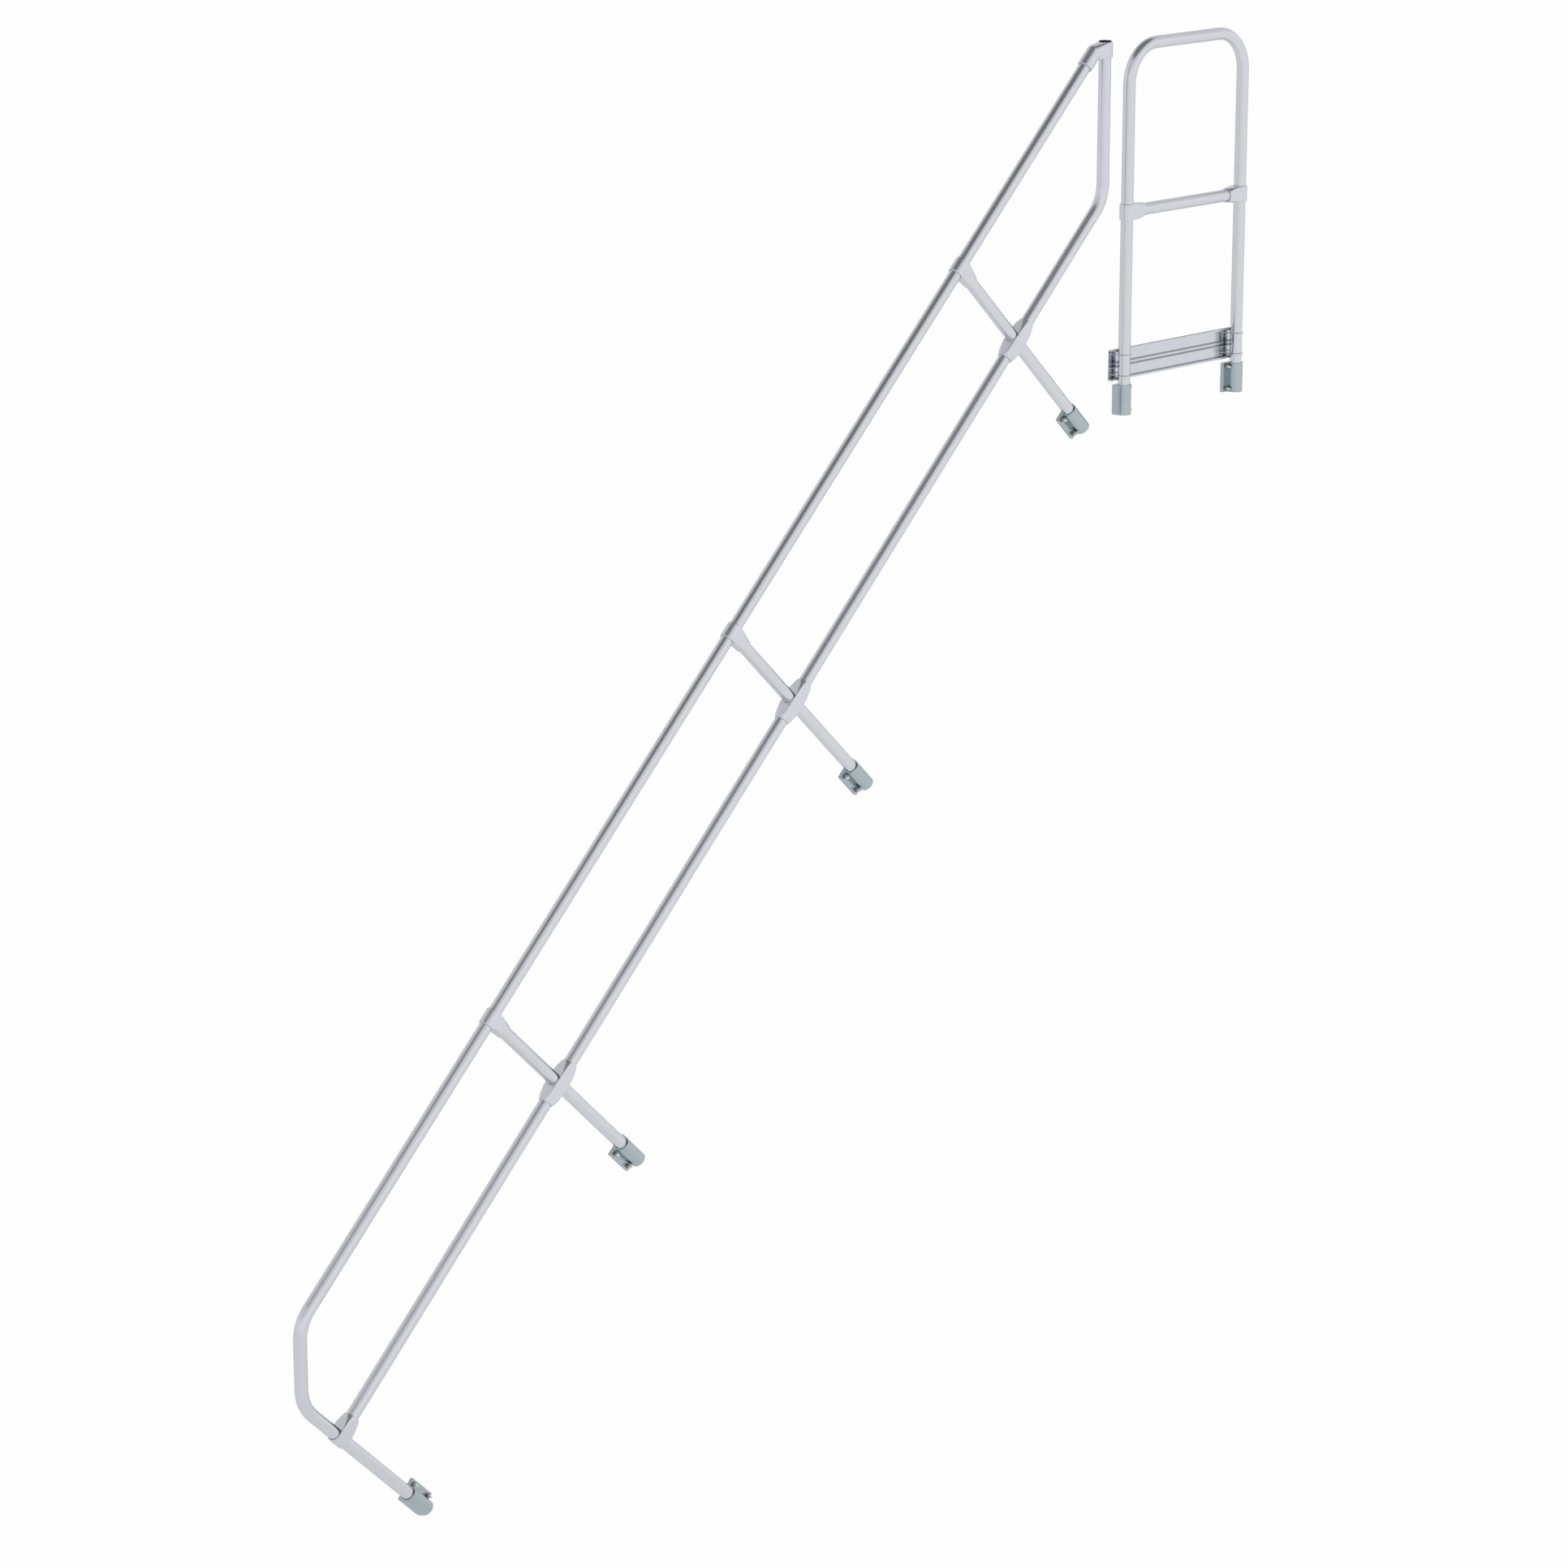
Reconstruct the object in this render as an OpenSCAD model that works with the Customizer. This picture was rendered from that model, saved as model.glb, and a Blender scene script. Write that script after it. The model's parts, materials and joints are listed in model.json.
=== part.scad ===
// Stair handrail for one side of a stair, with the guard rail of its platform.
// Aluminium tubes join in cast sleeves and stand in extruded clamps on studs.
// Origin: mounting face of the foot clamp, behind the tube's axis. Up-slope is +X, the stair lies at +Y.

/* [Slope and spacing] */
// Slope of the stair's rails above the horizontal, degrees
slope = 45; // [35:1:55]
// Top rail's axis to the middle of the clamps, along a post
clamp_drop = 781; // [650:1:950]
// Foot post to the first post, along the slope
foot_pitch = 1233; // [900:1:1500]
// Post to post, along the slope
post_pitch = 1400; // [1000:1:1700]
// Last post to the corner of the knee rail's top bend
top_run = 570; // [350:1:800]
// Top rail's axis to the knee rail's axis
knee_gap = 370; // [320:1:450]
// Corner cut off between the top rail and the foot post
loop_cut = 179; // [130:1:220]

/* [Tube] */
// Outside diameter of every tube
tube_d = 40; // [32:0.5:44]
// Wall of every tube
tube_wall = 2; // [1.5:0.1:4]
// Bend radius at the tube's axis
bend_r = 125; // [90:1:150]
// Thinning of the tube's wall on each face in a bend
bend_thin = 0.05; // [0.02:0.01:0.2]

/* [Fittings] */
// Wall of a sleeve round the tube
sleeve_wall = 4.3; // [3:0.1:6]
// Length of a sleeve along the tube that runs through it
sleeve_len = 51; // [44:1:64]
// Wall of a socket's rim round the tube
socket_wall = 3.4; // [2.5:0.1:5]
// Crossing tube's axis to a socket's rim
socket_reach = 71; // [60:1:90]
// Straight part of a socket behind its rim
socket_lip = 5; // [3:0.5:10]
// Metal between a crossing tube and a socket's floor
socket_floor = 3.8; // [2:0.1:6]
// Radial clearance of a tube in its fitting
fit = 0.2; // [0.1:0.05:0.4]

/* [Top elbow and end post] */
// Elbow's corner to the end post's axis
elbow_neck = 49.6; // [45:0.1:70]
// Rail socket's length below the elbow's corner
elbow_socket = 67; // [50:1:90]
// Floor of the rail socket, below the elbow's corner
elbow_floor = 17; // [14:1:24]
// Height of the elbow's sleeve
elbow_len = 50; // [44:1:60]
// Elbow's corner to the middle of the heel under its neck
elbow_heel = 12; // [6:1:20]
// End post's cut below the top of the elbow's sleeve
end_cut = 3; // [1:0.5:8]
// Height of the end plug's head
plug_head = 6; // [4:0.5:12]
// Depth of the end plug in the tube
plug_depth = 20; // [10:1:40]
// Clearance under the end plug's head
plug_seat = 0.05; // [0.02:0.01:0.2]

/* [Clamps] */
// Length of a clamp along the tube
clamp_len = 98; // [80:1:120]
// Tube's axis to the mounting face
clamp_back = 25; // [24:0.5:32]
// Wall of the clamp's round front
clamp_wall = 4.3; // [3:0.1:6]
// Reach of the clamp's plain side from the tube's axis
clamp_heel = 28.5; // [27:0.5:34]
// Depth of the plain side's flat foot
clamp_foot = 14; // [10:0.5:18]
// Reach of the bolted flange from the tube's axis
flange_reach = 46.5; // [44:0.5:56]
// Thickness of the bolted flange
flange_t = 13.5; // [9:0.5:14]
// Width of the pinch slit between the flange's leaves
slit_w = 1.5; // [1:0.1:2.5]
// Mounting face to the pinch slit
slit_back = 4; // [4:0.5:6]

/* [Clamp studs] */
// Nominal diameter of a stud's anchor end
stud_d = 8; // [6:1:8]
// Core diameter of a stud through the flange and nut
stud_core = 7.2; // [5:0.1:7.4]
// Tube's axis to a stud's axis
stud_out = 33.5; // [32.5:0.5:40]
// Distance between the two studs of a clamp
stud_pitch = 74; // [50:1:78]
// Length of a stud past the mounting face
stud_tail = 8; // [6:1:40]
// Length of a stud past its nut
stud_tip = 10; // [3:0.5:20]
// Diameter of a washer
washer_d = 15; // [13:0.5:15]
// Thickness of a washer
washer_t = 1.6; // [1:0.1:2.5]
// Width of a nut across its flats
nut_af = 13; // [10:0.5:13]
// Height of a nut
nut_h = 6.5; // [5:0.1:8]

/* [Platform guard] */
// End post's axis to the guard's left post
guard_gap = 120; // [90:1:200]
// Distance between the guard's posts
guard_w = 560; // [400:1:1200]
// Guard's top tube above the elbow's centre
guard_lift = 3.4; // [0:0.1:60]
// Guard's top tube to the middle of its clamps
guard_drop = 1139; // [900:1:1300]
// Guard's top tube to its mid rail
mid_drop = 530; // [350:1:650]

/* [Toe board] */
// Height of the toe board
board_h = 102; // [90:1:150]
// Depth of the toe board
board_t = 13; // [8:0.5:30]
// Top of the clamps to the board's lower edge
board_gap = 12; // [5:0.5:60]
// Length of board past a post's axis
board_over = 41; // [32:1:60]
// Wall of the board's profile
board_wall = 2; // [1.5:0.1:3]
// Height of the skirt under the top edge
top_skirt = 5; // [4:0.5:10]
// Height of the skirt at the lower edge
foot_skirt = 7.5; // [5:0.5:10]
// Top of the lower rib above the board's lower edge
low_rib_z = 46.5; // [35:0.5:52]
// Top of the upper rib above the board's lower edge
high_rib_z = 59.5; // [55:0.5:70]

/* [U-bolts] */
// Diameter of a U-bolt's rod
ubolt_d = 4; // [4:0.5:6]
// Lower U-bolt above the board's lower edge
ubolt_low = 17.5; // [14:0.5:30]
// Distance between the two U-bolts of a post
ubolt_pitch = 68.5; // [60:0.5:70]
// Diameter of a U-bolt's washer
ubolt_washer_d = 9; // [8:0.5:14]
// Thickness of a U-bolt's washer
ubolt_washer_t = 0.8; // [0.8:0.1:2]
// Width of a U-bolt's nut across its flats
ubolt_nut_af = 7; // [7:0.5:10]
// Height of a U-bolt's nut
ubolt_nut_h = 3.2; // [3:0.1:5]
// Length of a U-bolt's leg past its nut
ubolt_tip = 2; // [1:0.5:10]

/* [Set screws] */
// Diameter of a set screw
screw_d = 6; // [5:0.5:8]
// Length of a set screw
screw_len = 4; // [3:0.5:6]
// Width of a set screw's hexagon across its flats
screw_hex = 3; // [2:0.5:3]
// Depth of a set screw's hexagon
screw_hex_depth = 2; // [1:0.5:2.5]
// Socket's rim to the middle of its set screw
screw_inset = 14; // [10:0.5:20]

/* [Hidden] */
$fn = 64;
// Sides of the rounds that the blended bodies are made from
blend_fn = 32;
// Turn from one ring of a socket's blend to the next
blend_step = 15;
// Points on each corner of a ring
corner_points = 8;
// Overshoot of a cut past the surface that it opens
over = 1;
// Radial clearance of a screw, stud, rod or plug in its hole
loose = 0.4;
// Step from the elbow's rail socket down to its neck
neck_step = 0.2;
// Length of the round rim that the elbow's neck starts from
neck_rim = 0.5;
// Chamfer at the ends of studs and of the end plug
chamfer = 1;
// Angle at which the clamp's plain side leaves its round front
heel_angle = 200;
// Angle at which the clamp's flange side leaves its round front
wall_angle = -14;
tube_r = tube_d / 2;
bore_r = tube_r + fit;
sleeve_r = bore_r + sleeve_wall;
socket_r = bore_r + socket_wall;
clamp_r = bore_r + clamp_wall;
socket_base = tube_r + socket_floor;
tube_stop = socket_base + fit;
foot_len = clamp_drop + clamp_len / 2;
post_s = [for (i = [0 : 2]) foot_pitch + i * post_pitch];
top_s = post_s[2] + top_run;
end_x = slope_x(top_s, knee_gap);
elbow_s = (end_x - elbow_neck + clamp_drop * sin(slope)) / cos(slope);
elbow_z = slope_z(elbow_s, 0);
end_top_z = elbow_z + elbow_len / 2 - end_cut;
guard_x = [end_x + guard_gap, end_x + guard_gap + guard_w];
guard_top_z = elbow_z + guard_lift;
guard_clamp_z = guard_top_z - guard_drop;
guard_mid_z = guard_top_z - mid_drop;
board_z = guard_clamp_z + clamp_len / 2 + board_gap;
board_y = tube_r + fit;
flange_front = clamp_back - flange_t;
ubolt_r = tube_r + fit + ubolt_d / 2;
ubolt_z = [board_z + ubolt_low, board_z + ubolt_low + ubolt_pitch];
board_back = board_y + board_t;
tube_color = "silver";
cast_color = "gainsboro";
clamp_color = [0.64, 0.70, 0.71];
steel_color = "lightgray";

// Place on the stair's plane: s up along the slope from the foot post, n down from the top rail's axis
function slope_x(s, n) = s * cos(slope) + (n - clamp_drop) * sin(slope);
function slope_z(s, n) = s * sin(slope) - (n - clamp_drop) * cos(slope);

// Children at a place on the slope, with X up along the rails and Z up along the posts
module on_slope(s, n) {
    translate([slope_x(s, n), -clamp_back, slope_z(s, n)])
        rotate([0, -slope, 0])
            children();
}

// Children at a place on the platform guard, upright
module on_guard(x, z) {
    translate([x, -clamp_back, z])
        children();
}

// Straight tubes and bends

// Section of the tube, with its wall thinned on each face
module ring(thin = 0) {
    difference() {
        circle(tube_r - thin);
        circle(tube_r - tube_wall + thin);
    }
}

// Straight tube from the origin along Z
module tube(length) {
    linear_extrude(length)
        ring();
}

// Tube of straight legs along Z, with a bend towards X between one leg and the next
module bent_tube(legs, turn, leg = 0) {
    tube(legs[leg]);
    if (leg < len(legs) - 1)
        translate([bend_r, 0, legs[leg]]) {
            rotate([90, 0, 180])
                rotate_extrude(angle = turn)
                    translate([bend_r, 0])
                        ring(bend_thin);
            rotate([0, turn, 0])
                translate([-bend_r, 0, 0])
                    bent_tube(legs, turn, leg + 1);
        }
}

// Corner of a bend to the start of its arc
function tangent(turn) = bend_r * tan(turn / 2);

// Foot post, lower loop and top rail in one tube
module top_rail() {
    loop = tangent(45);
    legs = [foot_len - loop_cut - loop,
        loop_cut * sqrt(2) - 2 * loop,
        elbow_s - elbow_floor - fit - loop_cut - loop];
    color(tube_color)
        on_slope(0, foot_len)
            bent_tube(legs, 45);
}

module post(i) {
    color(tube_color)
        on_slope(post_s[i], foot_len)
            tube(foot_len - tube_stop);
}

module post_1() { post(0); }
module post_2() { post(1); }
module post_3() { post(2); }

// Knee rail between the sockets of two neighbouring posts
module knee_rail(s_from, s_to) {
    color(tube_color)
        on_slope(s_from + tube_stop, knee_gap)
            rotate([0, 90, 0])
                tube(s_to - s_from - 2 * tube_stop);
}

module knee_rail_1() { knee_rail(0, post_s[0]); }
module knee_rail_2() { knee_rail(post_s[0], post_s[1]); }
module knee_rail_3() { knee_rail(post_s[1], post_s[2]); }

// Top stretch of the knee rail, bent upright into the end post
module knee_rail_top() {
    turn = 90 - slope;
    legs = [top_run - tube_stop - tangent(turn),
        end_top_z - slope_z(top_s, knee_gap) - tangent(turn)];
    color(tube_color)
        on_slope(post_s[2] + tube_stop, knee_gap)
            rotate([180, -90, 0])
                bent_tube(legs, turn);
}

// Platform guard's two posts and top rail in one tube
module guard_hoop() {
    leg = guard_drop + clamp_len / 2 - bend_r;
    color(tube_color)
        on_guard(guard_x[0], guard_clamp_z - clamp_len / 2)
            bent_tube([leg, guard_w - 2 * bend_r, leg], 90);
}

module guard_mid_rail() {
    color(tube_color)
        on_guard(guard_x[0] + tube_stop, guard_mid_z)
            rotate([0, 90, 0])
                tube(guard_w - 2 * tube_stop);
}

// Cast fittings

// Round bar along X, from one place to another
module bar_x(r, from, to) {
    translate([from, 0, 0])
        rotate([0, 90, 0])
            cylinder(r = r, h = to - from);
}

// Tapped hole for a set screw on the back
module screw_hole(x, z) {
    translate([x, tube_r, z])
        rotate([-90, 0, 0])
            cylinder(d = screw_d + fit, h = sleeve_r);
}

// Rounded rectangle square to X at the given place, from its half width, half height and corner radius
function blend_ring(x, w, h, r) = [for (i = [0 : 4 * corner_points - 1])
    let (corner = floor(i / corner_points), step = i % corner_points,
        turn = 90 * (corner + step / (corner_points - 1)),
        side_y = corner == 0 || corner == 3 ? 1 : -1,
        side_z = corner < 2 ? 1 : -1)
    [x, side_y * (w - r) + r * cos(turn), side_z * (h - r) + r * sin(turn)]];

// Rings of a socket's blend, from square at the sleeve to round at the rim
blend_rings = [for (turn = [blend_step : blend_step : 90 - blend_step])
    let (share = sin(turn), w = sleeve_r + share * (socket_r - sleeve_r))
    blend_ring(share * (socket_reach - socket_lip), w,
        sleeve_len / 2 + share * (socket_r - sleeve_len / 2), w * (1 - cos(turn)))];

// Solid through a row of rings that have as many points each
module loft(rings) {
    n = len(rings[0]);
    last = (len(rings) - 1) * n;
    polyhedron([for (ring = rings) each ring],
        concat([[for (i = [0 : n - 1]) i], [for (i = [n - 1 : -1 : 0]) last + i]],
            [for (row = [0 : n : last - 1], i = [0 : n - 1])
                [row + i, row + n + i, row + n + (i + 1) % n, row + (i + 1) % n]]));
}

// Fitting round a tube along Z, with a socket along X on each of the named sides
module fitting(sides) {
    difference() {
        hull() {
            cylinder(r = sleeve_r, h = sleeve_len, center = true, $fn = blend_fn);
            for (side = sides)
                mirror([side < 0 ? 1 : 0, 0, 0]) {
                    loft(blend_rings);
                    bar_x(socket_r, socket_reach - socket_lip, socket_reach, $fn = blend_fn);
                }
        }
        cylinder(r = bore_r, h = sleeve_len + 2 * over, center = true);
        screw_hole(0, 0);
        for (side = sides) {
            bar_x(bore_r, side > 0 ? socket_base : -socket_reach - over,
                side > 0 ? socket_reach + over : -socket_base);
            screw_hole(side * (socket_reach - screw_inset), 0);
        }
    }
}

// Tee on the top rail, with its socket down the post
module rail_tee(i) {
    color(cast_color)
        on_slope(post_s[i], 0)
            rotate([0, 90, 0])
                fitting([1]);
}

module rail_tee_1() { rail_tee(0); }
module rail_tee_2() { rail_tee(1); }
module rail_tee_3() { rail_tee(2); }

// Cross on a post, with a socket up and down the slope
module knee_cross(i) {
    color(cast_color)
        on_slope(post_s[i], knee_gap)
            fitting([-1, 1]);
}

module cross_1() { knee_cross(0); }
module cross_2() { knee_cross(1); }
module cross_3() { knee_cross(2); }

module foot_tee() {
    color(cast_color)
        on_slope(0, knee_gap)
            fitting([1]);
}

module guard_tee_left() {
    color(cast_color)
        on_guard(guard_x[0], guard_mid_z)
            fitting([1]);
}

module guard_tee_right() {
    color(cast_color)
        on_guard(guard_x[1], guard_mid_z)
            fitting([-1]);
}

// Elbow between the top rail's end and the end post, with a neck as tall as its sleeve
module top_elbow() {
    color(cast_color)
        on_guard(end_x - elbow_neck, elbow_z)
            difference() {
                union() {
                    rotate([0, -slope, 0])
                        bar_x(sleeve_r, -elbow_socket, -neck_rim);
                    hull() {
                        rotate([0, -slope, 0])
                            bar_x(sleeve_r - neck_step, -2 * neck_rim, 0, $fn = blend_fn);
                        translate([elbow_heel, 0, -elbow_len / 2])
                            cylinder(r = sleeve_r - neck_step, h = elbow_len / 2, $fn = blend_fn);
                        translate([elbow_neck, 0, 0])
                            cylinder(r = sleeve_r, h = elbow_len, center = true, $fn = blend_fn);
                    }
                }
                rotate([0, -slope, 0]) {
                    bar_x(bore_r, -elbow_socket - over, -elbow_floor);
                    screw_hole(screw_inset - elbow_socket, 0);
                }
                translate([elbow_neck, 0, 0]) {
                    cylinder(r = bore_r, h = elbow_len + 2 * over, center = true);
                    screw_hole(0, 0);
                }
            }
}

// Plastic plug in the top of the end post
module end_plug() {
    stem_r = tube_r - tube_wall - fit;
    color("black")
        on_guard(end_x, end_top_z + plug_seat) {
            cylinder(r = tube_r, h = plug_head - chamfer);
            translate([0, 0, plug_head - chamfer])
                cylinder(r1 = tube_r, r2 = tube_r - chamfer, h = chamfer);
            translate([0, 0, -plug_depth])
                cylinder(r = stem_r, h = plug_depth + over);
        }
}

// Clamps and their studs

// Body of the extruded clamp, with the flange towards X and the mounting face at the back
module clamp_body() {
    difference() {
        translate([0, 0, -clamp_len / 2]) {
            cylinder(r = clamp_r, h = clamp_len);
            linear_extrude(clamp_len)
                polygon([clamp_r * [cos(heel_angle), sin(heel_angle)],
                    [-clamp_heel, clamp_back - clamp_foot],
                    [-clamp_heel, clamp_back],
                    [flange_reach, clamp_back],
                    [flange_reach, flange_front],
                    [clamp_r, flange_front],
                    clamp_r * [cos(wall_angle), sin(wall_angle)]]);
        }
        cylinder(r = bore_r, h = clamp_len + 2 * over, center = true);
        translate([0, clamp_back - slit_back - slit_w, -clamp_len / 2 - over])
            cube([flange_reach + over, slit_w, clamp_len + 2 * over]);
    }
}

// Children at both stud places of a clamp, with Z along the stud towards the back
module at_studs(side) {
    for (end = [-1, 1])
        translate([side * stud_out, 0, end * stud_pitch / 2])
            rotate([-90, 0, 0])
                children();
}

// Clamp with its flange towards the given side of the tube
module clamp(side) {
    color(clamp_color)
        difference() {
            mirror([side < 0 ? 1 : 0, 0, 0])
                clamp_body();
            at_studs(side)
                translate([0, 0, flange_front - over])
                    cylinder(d = stud_d + 2 * loose, h = flange_t + 2 * over);
        }
}

module foot_clamp() { on_slope(0, clamp_drop) clamp(1); }
module post_clamp_1() { on_slope(post_s[0], clamp_drop) clamp(-1); }
module post_clamp_2() { on_slope(post_s[1], clamp_drop) clamp(-1); }
module post_clamp_3() { on_slope(post_s[2], clamp_drop) clamp(-1); }
module guard_clamp_left() { on_guard(guard_x[0], guard_clamp_z) clamp(1); }
module guard_clamp_right() { on_guard(guard_x[1], guard_clamp_z) clamp(-1); }

// Children at every stud of all the clamps
module each_stud() {
    on_slope(0, clamp_drop)
        at_studs(1) children();
    for (s = post_s)
        on_slope(s, clamp_drop)
            at_studs(-1) children();
    for (i = [0, 1])
        on_guard(guard_x[i], guard_clamp_z)
            at_studs(1 - 2 * i) children();
}

// Stud with a full-size anchor end behind the mounting face and a core through the flange and nut
module stud() {
    tip = flange_front - washer_t - nut_h - stud_tip;
    translate([0, 0, tip])
        cylinder(d1 = stud_core - 2 * chamfer, d2 = stud_core, h = chamfer);
    translate([0, 0, tip + chamfer])
        cylinder(d = stud_core, h = clamp_back - tip - chamfer);
    translate([0, 0, clamp_back])
        cylinder(d = stud_d, h = stud_tail - chamfer);
    translate([0, 0, clamp_back + stud_tail - chamfer])
        cylinder(d1 = stud_d, d2 = stud_d - 2 * chamfer, h = chamfer);
}

module clamp_studs() {
    color(steel_color)
        each_stud() stud();
}

// Flat washer on Z
module washer(outer_d, hole_d, thickness) {
    difference() {
        cylinder(d = outer_d, h = thickness);
        translate([0, 0, -over])
            cylinder(d = hole_d, h = thickness + 2 * over);
    }
}

// Hexagon nut on Z, with a flat towards each side of the tube
module nut(across_flats, hole_d, height) {
    difference() {
        rotate([0, 0, 30])
            cylinder(d = across_flats / cos(30), h = height, $fn = 6);
        translate([0, 0, -over])
            cylinder(d = hole_d, h = height + 2 * over);
    }
}

module clamp_washers() {
    color(steel_color)
        each_stud()
            translate([0, 0, flange_front - washer_t])
                washer(washer_d, stud_d + loose, washer_t);
}

module clamp_nuts() {
    color(steel_color)
        each_stud()
            translate([0, 0, flange_front - washer_t - nut_h])
                nut(nut_af, stud_core + 2 * fit, nut_h);
}

// Toe board and its U-bolts

// Children at each U-bolt, with its post's axis at the origin
module each_ubolt() {
    for (x = guard_x, z = ubolt_z)
        on_guard(x, z) children();
}

// Children at both legs of a U-bolt, with Z along the leg towards the back
module at_legs() {
    for (side = [-1, 1])
        translate([side * ubolt_r, 0, 0])
            rotate([-90, 0, 0])
                children();
}

// Section of the board, open to the front: depth along X, height along Y
module board_section() {
    translate([board_t - board_wall, 0])
        square([board_wall, board_h]);
    for (ledge_top = [foot_skirt, low_rib_z, high_rib_z, board_h])
        translate([0, ledge_top - board_wall])
            square([board_t, board_wall]);
    square([board_wall, foot_skirt]);
    translate([0, board_h - top_skirt])
        square([board_wall, top_skirt]);
}

module toe_board() {
    color(tube_color)
        difference() {
            translate([guard_x[0] - board_over, board_y - clamp_back, board_z])
                rotate([90, 0, 90])
                    linear_extrude(guard_w + 2 * board_over)
                        board_section();
            each_ubolt()
                at_legs()
                    cylinder(d = ubolt_d + 2 * loose, h = board_back + over);
        }
}

module toe_u_bolts() {
    leg_end = board_back + ubolt_washer_t + ubolt_nut_h + ubolt_tip;
    color(steel_color)
        each_ubolt() {
            rotate_extrude(angle = 180, start = 180)
                translate([ubolt_r, 0])
                    circle(d = ubolt_d);
            at_legs()
                cylinder(d = ubolt_d, h = leg_end);
        }
}

module toe_washers() {
    color(steel_color)
        each_ubolt()
            at_legs()
                translate([0, 0, board_back])
                    washer(ubolt_washer_d, ubolt_d + loose, ubolt_washer_t);
}

module toe_nuts() {
    color(steel_color)
        each_ubolt()
            at_legs()
                translate([0, 0, board_back + ubolt_washer_t])
                    nut(ubolt_nut_af, ubolt_d + 2 * fit, ubolt_nut_h);
}

// Set screws on the back of the fittings

module set_screw(x, z) {
    translate([x, bore_r, z])
        rotate([-90, 0, 0])
            difference() {
                cylinder(d = screw_d, h = screw_len);
                translate([0, 0, screw_len - screw_hex_depth])
                    cylinder(d = screw_hex / cos(30), h = screw_hex_depth + over, $fn = 6);
            }
}

// Screws of a fitting round a tube along Z, with a socket on each of the named sides
module fitting_screws(sides) {
    set_screw(0, 0);
    for (side = sides)
        set_screw(side * (socket_reach - screw_inset), 0);
}

module rail_set_screws() {
    color(steel_color) {
        for (s = post_s) {
            on_slope(s, 0)
                rotate([0, 90, 0])
                    fitting_screws([1]);
            on_slope(s, knee_gap)
                fitting_screws([-1, 1]);
        }
        on_slope(0, knee_gap)
            fitting_screws([1]);
        on_slope(elbow_s, 0)
            set_screw(screw_inset - elbow_socket, 0);
        on_guard(end_x, elbow_z)
            set_screw(0, 0);
    }
}

module guard_set_screws() {
    color(steel_color)
        for (i = [0, 1])
            on_guard(guard_x[i], guard_mid_z)
                fitting_screws([1 - 2 * i]);
}

top_rail();
post_1();
post_2();
post_3();
knee_rail_1();
knee_rail_2();
knee_rail_3();
knee_rail_top();
rail_tee_1();
rail_tee_2();
rail_tee_3();
cross_1();
cross_2();
cross_3();
foot_tee();
top_elbow();
end_plug();
foot_clamp();
post_clamp_1();
post_clamp_2();
post_clamp_3();
guard_hoop();
guard_mid_rail();
guard_tee_left();
guard_tee_right();
toe_board();
guard_clamp_left();
guard_clamp_right();
clamp_studs();
clamp_washers();
clamp_nuts();
toe_u_bolts();
toe_washers();
toe_nuts();
rail_set_screws();
guard_set_screws();
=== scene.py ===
"""Looks of a stair handrail and its platform guard: cast fittings, fasteners, finishes, studio and camera."""
import json
import logging
import math
from contextlib import contextmanager
from dataclasses import dataclass, field
from enum import Enum
from typing import Any, Callable, Iterable, Iterator, Mapping, Sequence

import bpy
from mathutils import Matrix, Vector

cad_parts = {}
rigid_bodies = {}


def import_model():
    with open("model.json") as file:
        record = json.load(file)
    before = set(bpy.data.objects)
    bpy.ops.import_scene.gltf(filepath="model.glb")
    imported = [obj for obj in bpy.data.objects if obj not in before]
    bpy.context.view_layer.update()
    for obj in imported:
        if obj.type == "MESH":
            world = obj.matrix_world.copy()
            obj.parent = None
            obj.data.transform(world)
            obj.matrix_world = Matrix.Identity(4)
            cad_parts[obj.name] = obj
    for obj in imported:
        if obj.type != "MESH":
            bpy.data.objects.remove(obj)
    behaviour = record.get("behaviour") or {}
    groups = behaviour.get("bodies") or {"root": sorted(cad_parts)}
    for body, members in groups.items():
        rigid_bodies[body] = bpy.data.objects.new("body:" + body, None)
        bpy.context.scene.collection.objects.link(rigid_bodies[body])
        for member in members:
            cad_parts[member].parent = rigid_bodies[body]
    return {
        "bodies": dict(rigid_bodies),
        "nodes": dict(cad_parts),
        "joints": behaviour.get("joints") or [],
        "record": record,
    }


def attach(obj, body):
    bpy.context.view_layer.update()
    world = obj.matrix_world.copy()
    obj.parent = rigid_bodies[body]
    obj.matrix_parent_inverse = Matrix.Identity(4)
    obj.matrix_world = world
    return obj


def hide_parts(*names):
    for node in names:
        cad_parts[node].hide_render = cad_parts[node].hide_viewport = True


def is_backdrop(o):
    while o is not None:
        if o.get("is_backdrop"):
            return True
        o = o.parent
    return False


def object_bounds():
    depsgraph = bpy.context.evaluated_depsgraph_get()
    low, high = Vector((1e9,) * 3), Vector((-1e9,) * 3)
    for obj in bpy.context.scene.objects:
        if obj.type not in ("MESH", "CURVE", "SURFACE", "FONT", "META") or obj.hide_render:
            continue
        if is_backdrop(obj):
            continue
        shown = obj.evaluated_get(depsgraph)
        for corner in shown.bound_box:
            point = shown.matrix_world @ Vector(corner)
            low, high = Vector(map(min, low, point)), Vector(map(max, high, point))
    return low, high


LOG = logging.getLogger("handrail")
Colour = tuple[float, float, float]
Piece = bpy.types.Object
MM = 0.001
SOFT_EDGE = 0.82
NOISE_ROUGHNESS = 0.55
BACKWARD = Matrix.Rotation(-math.pi / 2, 4, "X")


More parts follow.
